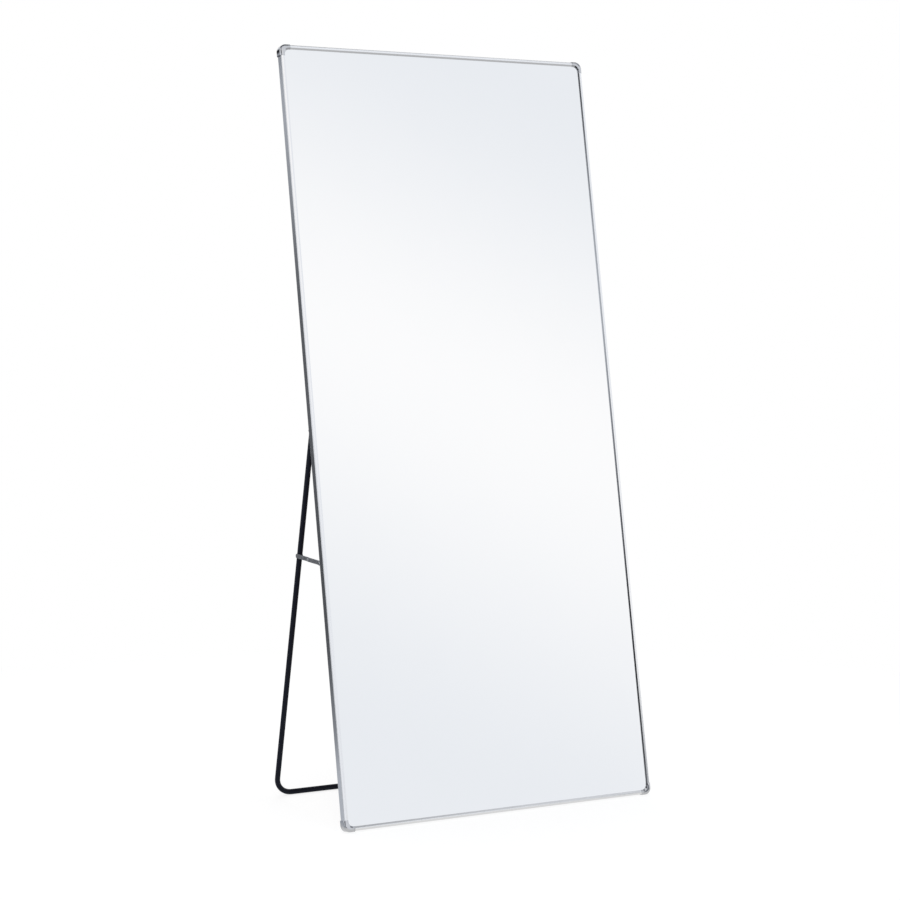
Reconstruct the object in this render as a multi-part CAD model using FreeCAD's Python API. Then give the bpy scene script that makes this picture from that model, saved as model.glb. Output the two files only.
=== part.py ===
import FreeCAD, Part
import math
import os

from FreeCAD import Vector

# Full-length floor mirror: an aluminium frame with four rounded corner caps, and a U-shaped tube
# stand that is hinged on the back and held open by a folding two-bar stay on each side.
# Millimetres. The mirror is drawn upright, X across, Y back from its front face, Z up from its
# bottom edge, and the whole model is then leaned back and set on the floor.

# Overall
mirror_w = 813.0            # frame over the side rails
mirror_h = 1803.0           # frame over the top and bottom rails
lean_deg = 10.7             # lean of the mirror from upright
foot_reach = 414.5          # front bottom edge to the middle of the stand's run, along the floor
floor_gap = 0.15            # bottom rail above the floor, the frame stands on its corner caps

# Glazing, from the front lip to the back of the board
glass_t = 4.0
foam_t = 1.5
board_t = 3.0
strip_t = 1.0
strip_w = 6.5
glass_side_gap = 0.8        # glass edge to the rail's outer wall

# Frame rail section
rail_depth = 20.0
face_w = 9.9                # width seen from the front
face_flat_w = 5.9           # flat outer part of the face, the rest slopes in to the glass
lip_t = 2.3                 # lip thickness over the flat part
lip_tip_t = 0.5             # lip thickness at the glass
wall = 1.4                  # outer and rear walls
web_t = 1.2                 # web behind the glazing
chamber_w = 10.6            # inside width of the hollow that takes the corner tongues
flange_w = 24.0             # whole width of the rear flange
rail_edge_r = 1.1           # rounded outer edges

# Corner caps
cap_arm = 25.0              # from the frame's corner to the rail's square end
cap_corner_r = 14.0         # corner radius at the frame's outline
cap_inner_r = 11.7          # rounding of the cap's inner edge, which shows round the glass
cap_proud = 2.0             # proud of the rail at the side
cap_proud_front = 0.6       # proud of the rail at the front
cap_inner_proud = 0.4       # past the rail's inner edge
cap_edge_r = 3.4            # rounded front edge
tongue_len = 30.0
tongue_gap = 0.15
tongue_taper = 1.5          # chamfer at a tongue's tip

# Stand
tube_d = 12.7
tube_wall = 1.2
bend_r = 40.0               # centre line of the two bottom bends
leg_inset = 14.0            # frame's outer edge to the leg's centre line
hinge_height = 906.9        # bottom edge to the hinge axis, along the mirror
hinge_standoff = 11.0       # rail's back to the hinge axis
tube_past_hinge = 5.5       # tube above the hinge axis
plug_len = 14.0
plug_gap = 0.1
plug_head_t = 0.8

# Hinge bracket
bracket_t = 2.0
bracket_len = 52.0
bracket_corner_r = 3.0
bracket_margin = 3.0        # frame's outer edge to the bracket's plate
ear_r = 9.0
bolt_d = 5.0
bolt_head_d = 7.4
bolt_head_t = 1.6           # low, so that it stays behind the frame's edge
bolt_past_nut = 1.2
nut_across = 8.0
nut_t = 4.0
washer_d = 12.0
washer_t = 1.0
side_gap = 0.2              # running gap beside each part that turns
pin_gap = 0.1               # radial gap round each pivot pin

# Folding stays
stay_reach = 303.8          # hinge axis to the stay's pivots, on the rail and on the leg
link_w = 10.0
link_t = 1.5
stay_plate_t = 1.6
stay_plate_len = 34.0
stay_plate_w = 18.5
stay_ear_r = 5.6
stay_back_gap = 1.0         # link's edge to the bracket's plate
rivet_d = 4.0
rivet_head_d = 8.0
rivet_head_t = 1.2

# Screws, one pattern for all
screw_d = 3.5
screw_head_d = 7.0
screw_head_t = 1.7
screw_len = 5.5
screw_inset = 9.0           # frame's outer edge to the screw's axis
screw_gap = 0.2             # radial gap in a clearance hole
thread_gap = 0.05           # radial gap in a tapped hole
recess_w = 0.9
recess_len = 3.6
recess_depth = 0.9
crown_share = 0.45          # domed part of a pan head's height
crown_top_share = 0.67      # flat top of a domed head, of its width
hinge_screw_pitch = 36.0
stay_screw_pitch = 22.0
corner_screw_from_cap = 15.0

# Wall hangers, on the top rail's flange
hanger_inset = 156.5        # frame's outer edge to a hanger's middle
hanger_t = 2.0
hanger_w = 36.0
hanger_len = 44.0
hanger_margin = 3.0         # frame's outer edge to the plate
hanger_screw_pitch = 24.0
keyhole_from_edge = 35.0    # frame's outer edge to the keyhole's round mouth
keyhole_r = 5.0
keyhole_slot_w = 5.0
keyhole_slot_len = 8.5

# A cut runs this far past the faces it opens
overrun = 3.0

# Worked out from the sizes above
half_w = mirror_w / 2
lean = math.radians(lean_deg)
tube_r = tube_d / 2
glass_y = lip_t
foam_y = glass_y + glass_t
board_y = foam_y + foam_t
strip_y = board_y + board_t
web_y = strip_y + strip_t
chamber_y = web_y + web_t
rear_y = rail_depth - wall
cap_tip = face_w + cap_inner_proud
cap_turn = cap_tip + cap_inner_r
chamber_x = wall + chamber_w
glass_inset = wall + glass_side_gap
hinge_y = rail_depth + hinge_standoff
stay_y = rail_depth + stay_plate_t + stay_back_gap + link_w / 2
stay_z = hinge_height - stay_reach
leg_x = half_w - leg_inset
hanger_x = half_w - hanger_inset

# How far the model is lifted so that the caps' soles and the run both touch the floor
cap_low = rail_depth * math.sin(lean) + cap_proud * math.cos(lean)
sole_cut = cap_proud * math.cos(lean) - floor_gap
lift = cap_low - sole_cut


def leaned(y, z):
    """Floor-frame Y and Z of a point that is drawn on the upright mirror."""
    return y * math.cos(lean) + z * math.sin(lean), z * math.cos(lean) - y * math.sin(lean) + lift


# The leg runs from the hinge axis to the middle of the run, a tube's radius above the floor
hinge_floor_y, hinge_floor_z = leaned(hinge_y, hinge_height)
leg_len = math.hypot(foot_reach - hinge_floor_y, hinge_floor_z - tube_r)
leg_splay = math.atan2(foot_reach - hinge_floor_y, hinge_floor_z - tube_r)
open_angle = lean + leg_splay
leg_dir = Vector(0, math.sin(open_angle), -math.cos(open_angle))

# The stay is straight when the stand is open, and both of its bars are as long
stay_on_rail = Vector(0, stay_y, stay_z)
stay_on_leg = Vector(0, hinge_y, hinge_height) + leg_dir * stay_reach
stay_span = stay_on_leg.sub(stay_on_rail)
link_len = stay_span.Length / 2
stay_knee = stay_on_rail + stay_span / 2

# Planes beside a leg, as distances in from the frame's outer edge
leg_outer = leg_inset - tube_r
leg_inner = leg_inset + tube_r
rear_link_out = leg_outer - side_gap - link_t
front_link_out = rear_link_out - side_gap - link_t
stay_ear_out = front_link_out - side_gap - stay_plate_t
hinge_ear_in = leg_inner + side_gap + washer_t

# The front of a bottom cap and the back of the run are the model's limits along Y
cap_edge_y, _ = leaned(cap_edge_r - cap_proud_front, cap_edge_r - cap_proud)
front_limit = cap_edge_y - cap_edge_r
back_limit = foot_reach + tube_r
centre_y = (front_limit + back_limit) / 2


def box(x0, x1, y0, y1, z0, z1):
    return Part.makeBox(x1 - x0, y1 - y0, z1 - z0, Vector(x0, y0, z0))


def rod_x(x0, x1, y, z, r):
    return Part.makeCylinder(r, x1 - x0, Vector(x0, y, z), Vector(1, 0, 0))


def rod_y(y0, y1, x, z, r):
    return Part.makeCylinder(r, y1 - y0, Vector(x, y0, z), Vector(0, 1, 0))


def mirrored_x(shape):
    return shape.mirror(Vector(0, 0, 0), Vector(1, 0, 0))


def mirrored_z(shape):
    return shape.mirror(Vector(0, 0, mirror_h / 2), Vector(0, 0, 1))


def rounded_plate(x0, x1, y0, y1, z0, z1, r):
    """Plate of thickness y0 to y1 whose four corners have radius r."""
    plate = box(x0, x1, y0, y1, z0, z1)
    corners = [e for e in plate.Edges if e.BoundBox.YLength > e.BoundBox.XLength + e.BoundBox.ZLength]
    return plate.makeFillet(r, corners)


def outline(points):
    """Closed face through points; a point given with a third value is the middle of an arc."""
    edges = []
    count = len(points)
    i = 0
    while i < count:
        start = Vector(points[i][0], points[i][1], 0)
        middle = points[(i + 1) % count]
        if len(middle) == 3:
            end = points[(i + 2) % count]
            arc = Part.Arc(start, Vector(middle[0], middle[1], 0), Vector(end[0], end[1], 0))
            edges.append(arc.toShape())
            i += 2
        else:
            edges.append(Part.LineSegment(start, Vector(middle[0], middle[1], 0)).toShape())
            i += 1
    return Part.Face(Part.Wire(edges))


def arc_point(cx, cy, r, sx, sy):
    """Middle of a quarter arc about (cx, cy), towards the corner at (sx, sy)."""
    return cx + sx * r / math.sqrt(2), cy + sy * r / math.sqrt(2), True


# Frame rails


def rail_section():
    """Rail section: X in from the frame's outer edge, Y back from its front face."""
    r = rail_edge_r
    outer = [
        (0, r),
        arc_point(r, r, r, -1, -1),
        (r, 0),
        (face_flat_w, 0),
        (face_w, lip_t - lip_tip_t),
        (face_w, lip_t),
        (wall, lip_t),
        (wall, web_y),
        (chamber_x + web_t, web_y),
        (chamber_x + web_t, rear_y),
        (flange_w, rear_y),
        (flange_w, rail_depth),
        (r, rail_depth),
        arc_point(r, rail_depth - r, r, -1, 1),
        (0, rail_depth - r),
    ]
    chamber = [(wall, chamber_y), (chamber_x, chamber_y), (chamber_x, rear_y), (wall, rear_y)]
    return outline(outer).cut(outline(chamber))


def rail(length):
    """Rail along Z from zero, drilled at both ends for the corner screws."""
    body = rail_section().extrude(Vector(0, 0, length))
    for z in (corner_screw_from_cap, length - corner_screw_from_cap):
        hole = rod_y(rear_y - overrun, rail_depth + overrun, screw_inset, z, screw_d / 2 + screw_gap)
        body = body.cut(hole)
    return body


def side_rail():
    """Left rail, tapped for the hinge bracket and the stay bracket."""
    body = rail(mirror_h - 2 * cap_arm)
    body.translate(Vector(-half_w, 0, cap_arm))
    for centre, pitch in ((hinge_height, hinge_screw_pitch), (stay_z, stay_screw_pitch)):
        for z in (centre - pitch / 2, centre + pitch / 2):
            hole = rod_y(rear_y - overrun, rail_depth + overrun, screw_inset - half_w, z,
                         screw_d / 2 + thread_gap)
            body = body.cut(hole)
    return body


def level_rail():
    """Bottom rail, laid along X with its outer edge down."""
    length = mirror_w - 2 * cap_arm
    body = rail(length)
    body.rotate(Vector(0, 0, 0), Vector(0, 1, 0), -90)
    body.translate(Vector(length / 2, 0, 0))
    return body


def top_rail():
    """Top rail, tapped for the hanger plates as well."""
    body = mirrored_z(level_rail())
    z = mirror_h - screw_inset
    for side in (-1, 1):
        for dx in (-hanger_screw_pitch / 2, hanger_screw_pitch / 2):
            hole = rod_y(rear_y - overrun, rail_depth + overrun, side * hanger_x + dx, z,
                         screw_d / 2 + thread_gap)
            body = body.cut(hole)
    return body


# Corner caps


def corner_block(inset, r, y0, y1, reach):
    """Block over the frame's corner, inset from it along X and Z, with that corner's edge rounded."""
    block = box(inset, reach, y0, y1, inset, reach)
    middle = (inset + reach) / 2
    edge = [e for e in block.Edges if e.BoundBox.XMax < middle and e.BoundBox.ZMax < middle]
    return block.makeFillet(r, edge)


def cap_pocket(inset, y0, y1):
    """Room in a cap that follows the cap's inner rounding and opens past both arms."""
    return corner_block(inset, cap_turn - inset, y0, y1, cap_arm + overrun)


def cap_slope():
    """What is cut away where the cap's front slopes in towards the glass, along both arms."""
    front = -cap_proud_front
    far = 2 * cap_tip - face_flat_w
    points = [
        (face_flat_w, front),
        (far, front + 2 * (lip_t - lip_tip_t)),
        (far, front - overrun),
        (face_flat_w, front - overrun),
    ]
    section = outline(points)
    section.translate(Vector(0, 0, cap_turn))
    arm = section.extrude(Vector(0, 0, cap_arm + overrun - cap_turn))
    elbow = section.revolve(Vector(cap_turn, 0, cap_turn), Vector(0, -1, 0), 90)
    return [arm, elbow, arm.mirror(Vector(0, 0, 0), Vector(1, 0, -1))]


def tongue():
    """Tongue on the upright arm, a sliding fit in the rail's hollow, with its screw hole."""
    x0, x1 = wall + tongue_gap, chamber_x - tongue_gap
    y0, y1 = chamber_y + tongue_gap, rear_y - tongue_gap
    bar = box(x0, x1, y0, y1, cap_corner_r, cap_arm + tongue_len)
    tip = [e for e in bar.Edges if e.BoundBox.ZMin > cap_arm + tongue_len - overrun]
    bar = bar.makeChamfer(tongue_taper, tip)
    z = cap_arm + corner_screw_from_cap
    return bar.cut(rod_y(y0 - overrun, y1 + overrun, screw_inset, z, screw_d / 2 + thread_gap))


def cap():
    """Cap for the bottom left corner, with the frame's corner at zero."""
    front = -cap_proud_front
    body = corner_block(-cap_proud, cap_corner_r + cap_proud, front, rail_depth, cap_arm)
    middle = (cap_corner_r + cap_arm) / 2
    rim = [e for e in body.Edges if e.BoundBox.YMax < 0
           and e.BoundBox.XMin < middle and e.BoundBox.ZMin < middle]
    body = body.makeFillet(cap_edge_r, rim)
    for cutter in cap_slope():
        body = body.cut(cutter)
    body = body.cut(cap_pocket(cap_tip, front - overrun, web_y))
    body = body.cut(cap_pocket(wall, lip_t, web_y))
    body = body.cut(cap_pocket(chamber_x + web_t, lip_t, rear_y))
    side_tongue = tongue()
    level_tongue = side_tongue.mirror(Vector(0, 0, 0), Vector(1, 0, -1))
    return body.multiFuse([side_tongue, level_tongue]).removeSplitter()


# Glazing


def sheet(y, thickness):
    """Sheet that fills the frame's groove, with its corners rounded to follow the caps."""
    x = half_w - glass_inset
    z0, z1 = glass_inset, mirror_h - glass_inset
    return rounded_plate(-x, x, y, y + thickness, z0, z1, cap_turn - glass_inset)


def side_strip():
    x0 = glass_inset - half_w
    return box(x0, x0 + strip_w, strip_y, strip_y + strip_t, cap_arm, mirror_h - cap_arm)


def level_strip():
    z0 = glass_inset
    x = half_w - cap_arm
    return box(-x, x, strip_y, strip_y + strip_t, z0, z0 + strip_w)


# Fasteners


def screw(x, y, z):
    """Pan-head screw driven forwards, with its head's underside at y."""
    rise = screw_head_t * crown_share
    head_r = screw_head_d / 2
    head = rod_y(y, y + screw_head_t - rise, x, z, head_r)
    base = Vector(x, y + screw_head_t - rise, z)
    crown = Part.makeCone(head_r, head_r * crown_top_share, rise, base, Vector(0, 1, 0))
    shank = rod_y(y - screw_len, y, x, z, screw_d / 2)
    body = head.multiFuse([crown, shank]).removeSplitter()
    y0, y1 = y + screw_head_t - recess_depth, y + screw_head_t + overrun
    for a, b in ((recess_len, recess_w), (recess_w, recess_len)):
        body = body.cut(box(x - a / 2, x + a / 2, y0, y1, z - b / 2, z + b / 2))
    return body


def screws(places, y):
    return Part.makeCompound([screw(x, y, z) for x, z in places])


def both_sides(points):
    return [(side * x, z) for side in (-1, 1) for x, z in points]


def corner_screws():
    x = half_w - screw_inset
    along = cap_arm + corner_screw_from_cap
    places = []
    for z0, up in ((0, 1), (mirror_h, -1)):
        places += both_sides([(x, z0 + up * along), (half_w - along, z0 + up * screw_inset)])
    return screws(places, rail_depth)


def bracket_screws(centre, pitch, thickness):
    x = half_w - screw_inset
    places = both_sides([(x, centre - pitch / 2), (x, centre + pitch / 2)])
    return screws(places, rail_depth + thickness)


def hanger_screws():
    z = mirror_h - screw_inset
    half = hanger_screw_pitch / 2
    places = both_sides([(hanger_x - half, z), (hanger_x + half, z)])
    return screws(places, rail_depth + hanger_t)


# Hinge, drawn for the left side


def drilled_for_screws(plate, centre, pitch, thickness):
    for z in (centre - pitch / 2, centre + pitch / 2):
        hole = rod_y(rail_depth - overrun, rail_depth + thickness + overrun, screw_inset - half_w, z,
                     screw_d / 2 + screw_gap)
        plate = plate.cut(hole)
    return plate


def hinge_bracket():
    x0 = bracket_margin - half_w
    x1 = hinge_ear_in + bracket_t - half_w
    z0, z1 = hinge_height - bracket_len / 2, hinge_height + bracket_len / 2
    plate = rounded_plate(x0, x1, rail_depth, rail_depth + bracket_t, z0, z1, bracket_corner_r)
    plate = drilled_for_screws(plate, hinge_height, hinge_screw_pitch, bracket_t)
    ear = box(x1 - bracket_t, x1, rail_depth, hinge_y, hinge_height - ear_r, hinge_height + ear_r)
    ear = ear.fuse(rod_x(x1 - bracket_t, x1, hinge_y, hinge_height, ear_r))
    body = plate.fuse(ear).removeSplitter()
    bore = rod_x(x0 - overrun, x1 + overrun, hinge_y, hinge_height, bolt_d / 2 + pin_gap)
    return body.cut(bore)


def hinge_bolt():
    head_in = leg_outer - side_gap - half_w
    end = hinge_ear_in + bracket_t + nut_t + bolt_past_nut - half_w
    head = rod_x(head_in - bolt_head_t, head_in, hinge_y, hinge_height, bolt_head_d / 2)
    rim = [e for e in head.Edges if e.BoundBox.XMax < head_in - bolt_head_t / 2 and e.Closed]
    head = head.makeFillet(bolt_head_t / 2, rim[:1])
    body = head.fuse(rod_x(head_in, end, hinge_y, hinge_height, bolt_d / 2))
    x1 = head_in - bolt_head_t + recess_depth
    for a, b in ((recess_len, recess_w), (recess_w, recess_len)):
        slot = box(x1 - recess_depth - overrun, x1, hinge_y - a / 2, hinge_y + a / 2,
                   hinge_height - b / 2, hinge_height + b / 2)
        body = body.cut(slot)
    return body


def hinge_nut():
    x0 = hinge_ear_in + bracket_t - half_w
    corner_r = nut_across / math.sqrt(3)
    corners = [Vector(x0, hinge_y + corner_r * math.sin(k * math.pi / 3),
                      hinge_height + corner_r * math.cos(k * math.pi / 3)) for k in range(6)]
    face = Part.Face(Part.makePolygon(corners + corners[:1]))
    nut = face.extrude(Vector(nut_t, 0, 0))
    bore = rod_x(x0 - overrun, x0 + nut_t + overrun, hinge_y, hinge_height, bolt_d / 2 + thread_gap)
    return nut.cut(bore)


def hinge_washer():
    """Washer between the tube and the bracket's ear."""
    x0 = leg_inner + side_gap - half_w
    x1 = x0 + washer_t
    ring = rod_x(x0, x1, hinge_y, hinge_height, washer_d / 2)
    return ring.cut(rod_x(x0 - overrun, x1 + overrun, hinge_y, hinge_height, bolt_d / 2 + pin_gap))


# Stand


def stand_path():
    """Centre line of the U: down the left leg, along the run and up the right leg."""
    hinge = Vector(0, hinge_y, hinge_height)
    across = Vector(1, 0, 0)
    top = hinge - leg_dir * tube_past_hinge
    bend = hinge + leg_dir * (leg_len - bend_r)
    run = hinge + leg_dir * leg_len
    middle = bend + leg_dir * (bend_r * math.sin(math.pi / 4))
    run_x = leg_x - bend_r
    mid_x = run_x + bend_r * math.cos(math.pi / 4)
    left = [top - across * leg_x, bend - across * leg_x, middle - across * mid_x, run - across * run_x]
    right = [run + across * run_x, middle + across * mid_x, bend + across * leg_x, top + across * leg_x]
    edges = [
        Part.LineSegment(left[0], left[1]),
        Part.Arc(left[1], left[2], left[3]),
        Part.LineSegment(left[3], right[0]),
        Part.Arc(right[0], right[1], right[2]),
        Part.LineSegment(right[2], right[3]),
    ]
    return Part.Wire([e.toShape() for e in edges])


def stand_tube():
    path = stand_path()
    start = path.Vertexes[0].Point

    def swept(r):
        ring = Part.Wire([Part.Circle(start, leg_dir, r).toShape()])
        return path.makePipeShell([ring], True, False)

    body = swept(tube_r).cut(swept(tube_r - tube_wall))
    on_leg = stay_on_leg
    for y, z, d in ((hinge_y, hinge_height, bolt_d), (on_leg.y, on_leg.z, rivet_d)):
        for side in (-1, 1):
            x0 = side * leg_x - tube_d
            body = body.cut(rod_x(x0, x0 + 2 * tube_d, y, z, d / 2 + pin_gap))
    return body


def tube_plug():
    """Plug in the top of the left leg, notched to clear the hinge bolt."""
    top = Vector(-leg_x, hinge_y, hinge_height) - leg_dir * tube_past_hinge
    head = Part.makeCylinder(tube_r, plug_head_t, top - leg_dir * plug_head_t, leg_dir)
    stem = Part.makeCylinder(tube_r - tube_wall - plug_gap, plug_len, top, leg_dir)
    bore = rod_x(-leg_x - tube_d, -leg_x + tube_d, hinge_y, hinge_height, bolt_d / 2 + 2 * pin_gap)
    return head.fuse(stem).removeSplitter().cut(bore)


# Folding stay, drawn for the left side


def link(out, start, end):
    """Flat bar with round ends and a hole at each, its outer face in from the frame's edge by out."""
    x0 = out - half_w
    along = end.sub(start)
    along.normalize()
    across = Vector(0, -along.z, along.y) * (link_w / 2)
    tip = along * (link_w / 2)
    shift = Vector(x0, 0, 0)
    a, b, c, d = (p + shift for p in (start + across, end + across, end - across, start - across))
    edges = [Part.LineSegment(a, b), Part.Arc(b, end + tip + shift, c), Part.LineSegment(c, d),
             Part.Arc(d, start - tip + shift, a)]
    bar = Part.Face(Part.Wire([e.toShape() for e in edges])).extrude(Vector(link_t, 0, 0))
    for p in (start, end):
        bar = bar.cut(rod_x(x0 - overrun, x0 + link_t + overrun, p.y, p.z, rivet_d / 2 + pin_gap))
    return bar


def rivet_head(x, direction, y, z):
    """Low domed head that starts at x and rises along X in the given direction."""
    axis = Vector(direction, 0, 0)
    half = rivet_head_t / 2
    head_r = rivet_head_d / 2
    rim = Part.makeCylinder(head_r, half, Vector(x, y, z), axis)
    base = Vector(x, y, z) + axis * half
    return rim.fuse(Part.makeCone(head_r, head_r * crown_top_share, half, base, axis))


def stay_bracket():
    x0 = stay_ear_out - half_w
    y1 = rail_depth + stay_plate_t
    z0, z1 = stay_z - stay_plate_len / 2, stay_z + stay_plate_len / 2
    plate = rounded_plate(x0, x0 + stay_plate_w, rail_depth, y1, z0, z1, bracket_corner_r)
    plate = drilled_for_screws(plate, stay_z, stay_screw_pitch, stay_plate_t)
    ear = box(x0, x0 + stay_plate_t, rail_depth, stay_y, stay_z - stay_ear_r, stay_z + stay_ear_r)
    ear = ear.fuse(rod_x(x0, x0 + stay_plate_t, stay_y, stay_z, stay_ear_r))
    bore = rod_x(x0 - overrun, x0 + overrun, stay_y, stay_z, rivet_d / 2 + thread_gap)
    return plate.fuse(ear).removeSplitter().cut(bore)


def rail_rivet():
    """Pivot on the rail's bracket: headed outside and flush with the front link's inner face."""
    x0 = stay_ear_out - half_w
    x1 = front_link_out + link_t - half_w
    shank = rod_x(x0, x1, stay_y, stay_z, rivet_d / 2)
    return shank.fuse(rivet_head(x0, -1, stay_y, stay_z)).removeSplitter()


def leg_rivet():
    """Pivot on the leg: headed inside and flush with the rear link's outer face."""
    x0 = rear_link_out - half_w
    x1 = leg_inner - half_w
    y, z = stay_on_leg.y, stay_on_leg.z
    shank = rod_x(x0, x1, y, z, rivet_d / 2)
    return shank.fuse(rivet_head(x1, 1, y, z)).removeSplitter()


def knee_rivet():
    """Headed half of the knee's rivet, fast in the front link."""
    x0 = front_link_out - half_w
    shank = rod_x(x0, x0 + link_t, stay_knee.y, stay_knee.z, rivet_d / 2)
    return shank.fuse(rivet_head(x0, -1, stay_knee.y, stay_knee.z)).removeSplitter()


def knee_shank():
    """Flush half of the knee's rivet, fast in the rear link."""
    x0 = rear_link_out - half_w
    return rod_x(x0, x0 + link_t, stay_knee.y, stay_knee.z, rivet_d / 2)


# Wall hangers


def hanger_plate():
    """Keyhole plate for the left hanger: its slot runs up from a round mouth."""
    x0, x1 = -hanger_x - hanger_w / 2, -hanger_x + hanger_w / 2
    y0, y1 = rail_depth, rail_depth + hanger_t
    z1 = mirror_h - hanger_margin
    plate = rounded_plate(x0, x1, y0, y1, z1 - hanger_len, z1, bracket_corner_r)
    mouth_z = mirror_h - keyhole_from_edge
    slot_z = mouth_z + keyhole_slot_len
    r = keyhole_slot_w / 2
    cuts = [
        rod_y(y0 - overrun, y1 + overrun, -hanger_x, mouth_z, keyhole_r),
        rod_y(y0 - overrun, y1 + overrun, -hanger_x, slot_z, r),
        box(-hanger_x - r, -hanger_x + r, y0 - overrun, y1 + overrun, mouth_z, slot_z),
    ]
    for dx in (-hanger_screw_pitch / 2, hanger_screw_pitch / 2):
        cuts.append(rod_y(y0 - overrun, y1 + overrun, dx - hanger_x, mirror_h - screw_inset,
                          screw_d / 2 + screw_gap))
    return plate.cut(Part.makeCompound(cuts))


# Whole model


def on_floor(shape):
    """Lean a piece back and set it on the floor, with the origin under the middle of the model."""
    placed = shape.copy()
    placed.rotate(Vector(0, 0, 0), Vector(1, 0, 0), -lean_deg)
    placed.translate(Vector(0, -centre_y, lift))
    return placed


def standing_cap(shape):
    """Bottom cap with the flat sole that it stands on."""
    placed = on_floor(shape)
    below = box(-mirror_w, mirror_w, -mirror_w, mirror_w, -mirror_w, 0)
    return placed.cut(below)


def build():
    corner = cap()
    bottom_left = corner.copy()
    bottom_left.translate(Vector(-half_w, 0, 0))
    top_left = mirrored_z(bottom_left)
    parts = {
        "rail_left": side_rail(),
        "rail_right": mirrored_x(side_rail()),
        "rail_bottom": level_rail(),
        "rail_top": top_rail(),
        "corner_cap_top_left": top_left,
        "corner_cap_top_right": mirrored_x(top_left),
        "mirror_glass": sheet(glass_y, glass_t),
        "backing_foam": sheet(foam_y, foam_t),
        "backing_board": sheet(board_y, board_t),
        "glazing_strip_left": side_strip(),
        "glazing_strip_right": mirrored_x(side_strip()),
        "glazing_strip_bottom": level_strip(),
        "glazing_strip_top": mirrored_z(level_strip()),
        "corner_screws": corner_screws(),
        "hinge_screws": bracket_screws(hinge_height, hinge_screw_pitch, bracket_t),
        "stay_screws": bracket_screws(stay_z, stay_screw_pitch, stay_plate_t),
        "hanger_screws": hanger_screws(),
        "stand_tube": stand_tube(),
    }
    one_side = {
        "hinge_bracket": hinge_bracket,
        "hinge_bolt": hinge_bolt,
        "hinge_nut": hinge_nut,
        "hinge_washer": hinge_washer,
        "tube_plug": tube_plug,
        "stay_bracket": stay_bracket,
        "stay_front_link": lambda: link(front_link_out, stay_on_rail, stay_knee),
        "stay_rear_link": lambda: link(rear_link_out, stay_on_leg, stay_knee),
        "stay_rail_rivet": rail_rivet,
        "stay_leg_rivet": leg_rivet,
        "stay_knee_rivet": knee_rivet,
        "stay_knee_shank": knee_shank,
        "hanger_plate": hanger_plate,
    }
    for name, make in one_side.items():
        piece = make()
        parts[name + "_left"] = piece
        parts[name + "_right"] = mirrored_x(piece)
    placed = {name: on_floor(shape) for name, shape in parts.items()}
    placed["corner_cap_bottom_left"] = standing_cap(bottom_left)
    placed["corner_cap_bottom_right"] = standing_cap(mirrored_x(bottom_left))
    return placed


os.makedirs("parts", exist_ok=True)
for node, shape in build().items():
    shape.exportStep(os.path.join("parts", node + ".step"))
    limits = shape.BoundBox
    print("%-26s solids %2d  valid %s  volume %10.1f  x %7.1f %7.1f  y %7.1f %7.1f  z %7.1f %7.1f" % (
        node, len(shape.Solids), shape.isValid(), shape.Volume, limits.XMin, limits.XMax, limits.YMin,
        limits.YMax, limits.ZMin, limits.ZMax))
print("leg length %.2f, opens %.3f degrees, stay link %.3f" % (leg_len, math.degrees(open_angle), link_len))
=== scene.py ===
# %% [markdown]
# # A floor mirror on a folding stand
#
# The object is a full-length mirror: a thin aluminium frame with a bright rounded cap on each
# corner, a sheet of silvered glass, and a black bent tube that folds out behind it. Its solids
# come packed from the CAD part. This lesson dresses them: most pieces are built again as smooth
# surfaces that numpy works out, and each finish is a small network of shader nodes.

import bmesh
import bpy
import numpy as np
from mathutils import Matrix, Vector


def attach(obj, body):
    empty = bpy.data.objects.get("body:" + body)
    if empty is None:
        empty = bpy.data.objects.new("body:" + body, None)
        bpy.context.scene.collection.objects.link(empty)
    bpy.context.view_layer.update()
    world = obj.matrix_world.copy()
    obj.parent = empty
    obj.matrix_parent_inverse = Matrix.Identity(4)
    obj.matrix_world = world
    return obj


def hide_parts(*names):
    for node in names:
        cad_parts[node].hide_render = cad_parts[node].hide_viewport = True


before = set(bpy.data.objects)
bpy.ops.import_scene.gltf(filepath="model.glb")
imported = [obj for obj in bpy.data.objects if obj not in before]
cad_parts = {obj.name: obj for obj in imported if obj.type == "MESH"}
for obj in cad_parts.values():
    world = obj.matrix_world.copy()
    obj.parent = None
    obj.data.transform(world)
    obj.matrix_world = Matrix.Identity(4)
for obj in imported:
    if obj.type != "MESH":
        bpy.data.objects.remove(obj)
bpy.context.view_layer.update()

# %% [markdown]
# ## Sizes
#
# A maker reads sizes in millimetres, so the drawing here is in millimetres too, and one function
# turns a drawn point into a place in the room. The mirror is drawn upright: X across, Y back from
# its front face, Z up from its bottom edge. Drawing it leaned back instead would put a sine in
# every line.

# %% Sizes of the frame
# Widths run in from the frame's outer edge: FACE, FACE_FLAT (where the slope to the glass starts),
# WALL, CHAMBER_WIDE (the hollow), WEB_WIDE and FLANGE. Depths run back from the front: LIP, WEB,
# CHAMBER (where the hollow starts), REAR (where it ends) and DEPTH.
MM = 0.001
WIDTH = 813.0
HEIGHT = 1803.0
HALF = WIDTH / 2
LEAN = np.radians(10.7)
DEPTH = 20.0
FACE = 9.9
FACE_FLAT = 5.9
LIP = 2.3
LIP_TIP = 0.5
WALL = 1.4
GLASS = 4.0
GLASS_INSET = 2.2
WEB = 11.8
CHAMBER = 13.0
REAR = 18.6
CHAMBER_WIDE = 12.0
WEB_WIDE = 13.2
FLANGE = 24.0
EDGE_R = 1.1

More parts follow.
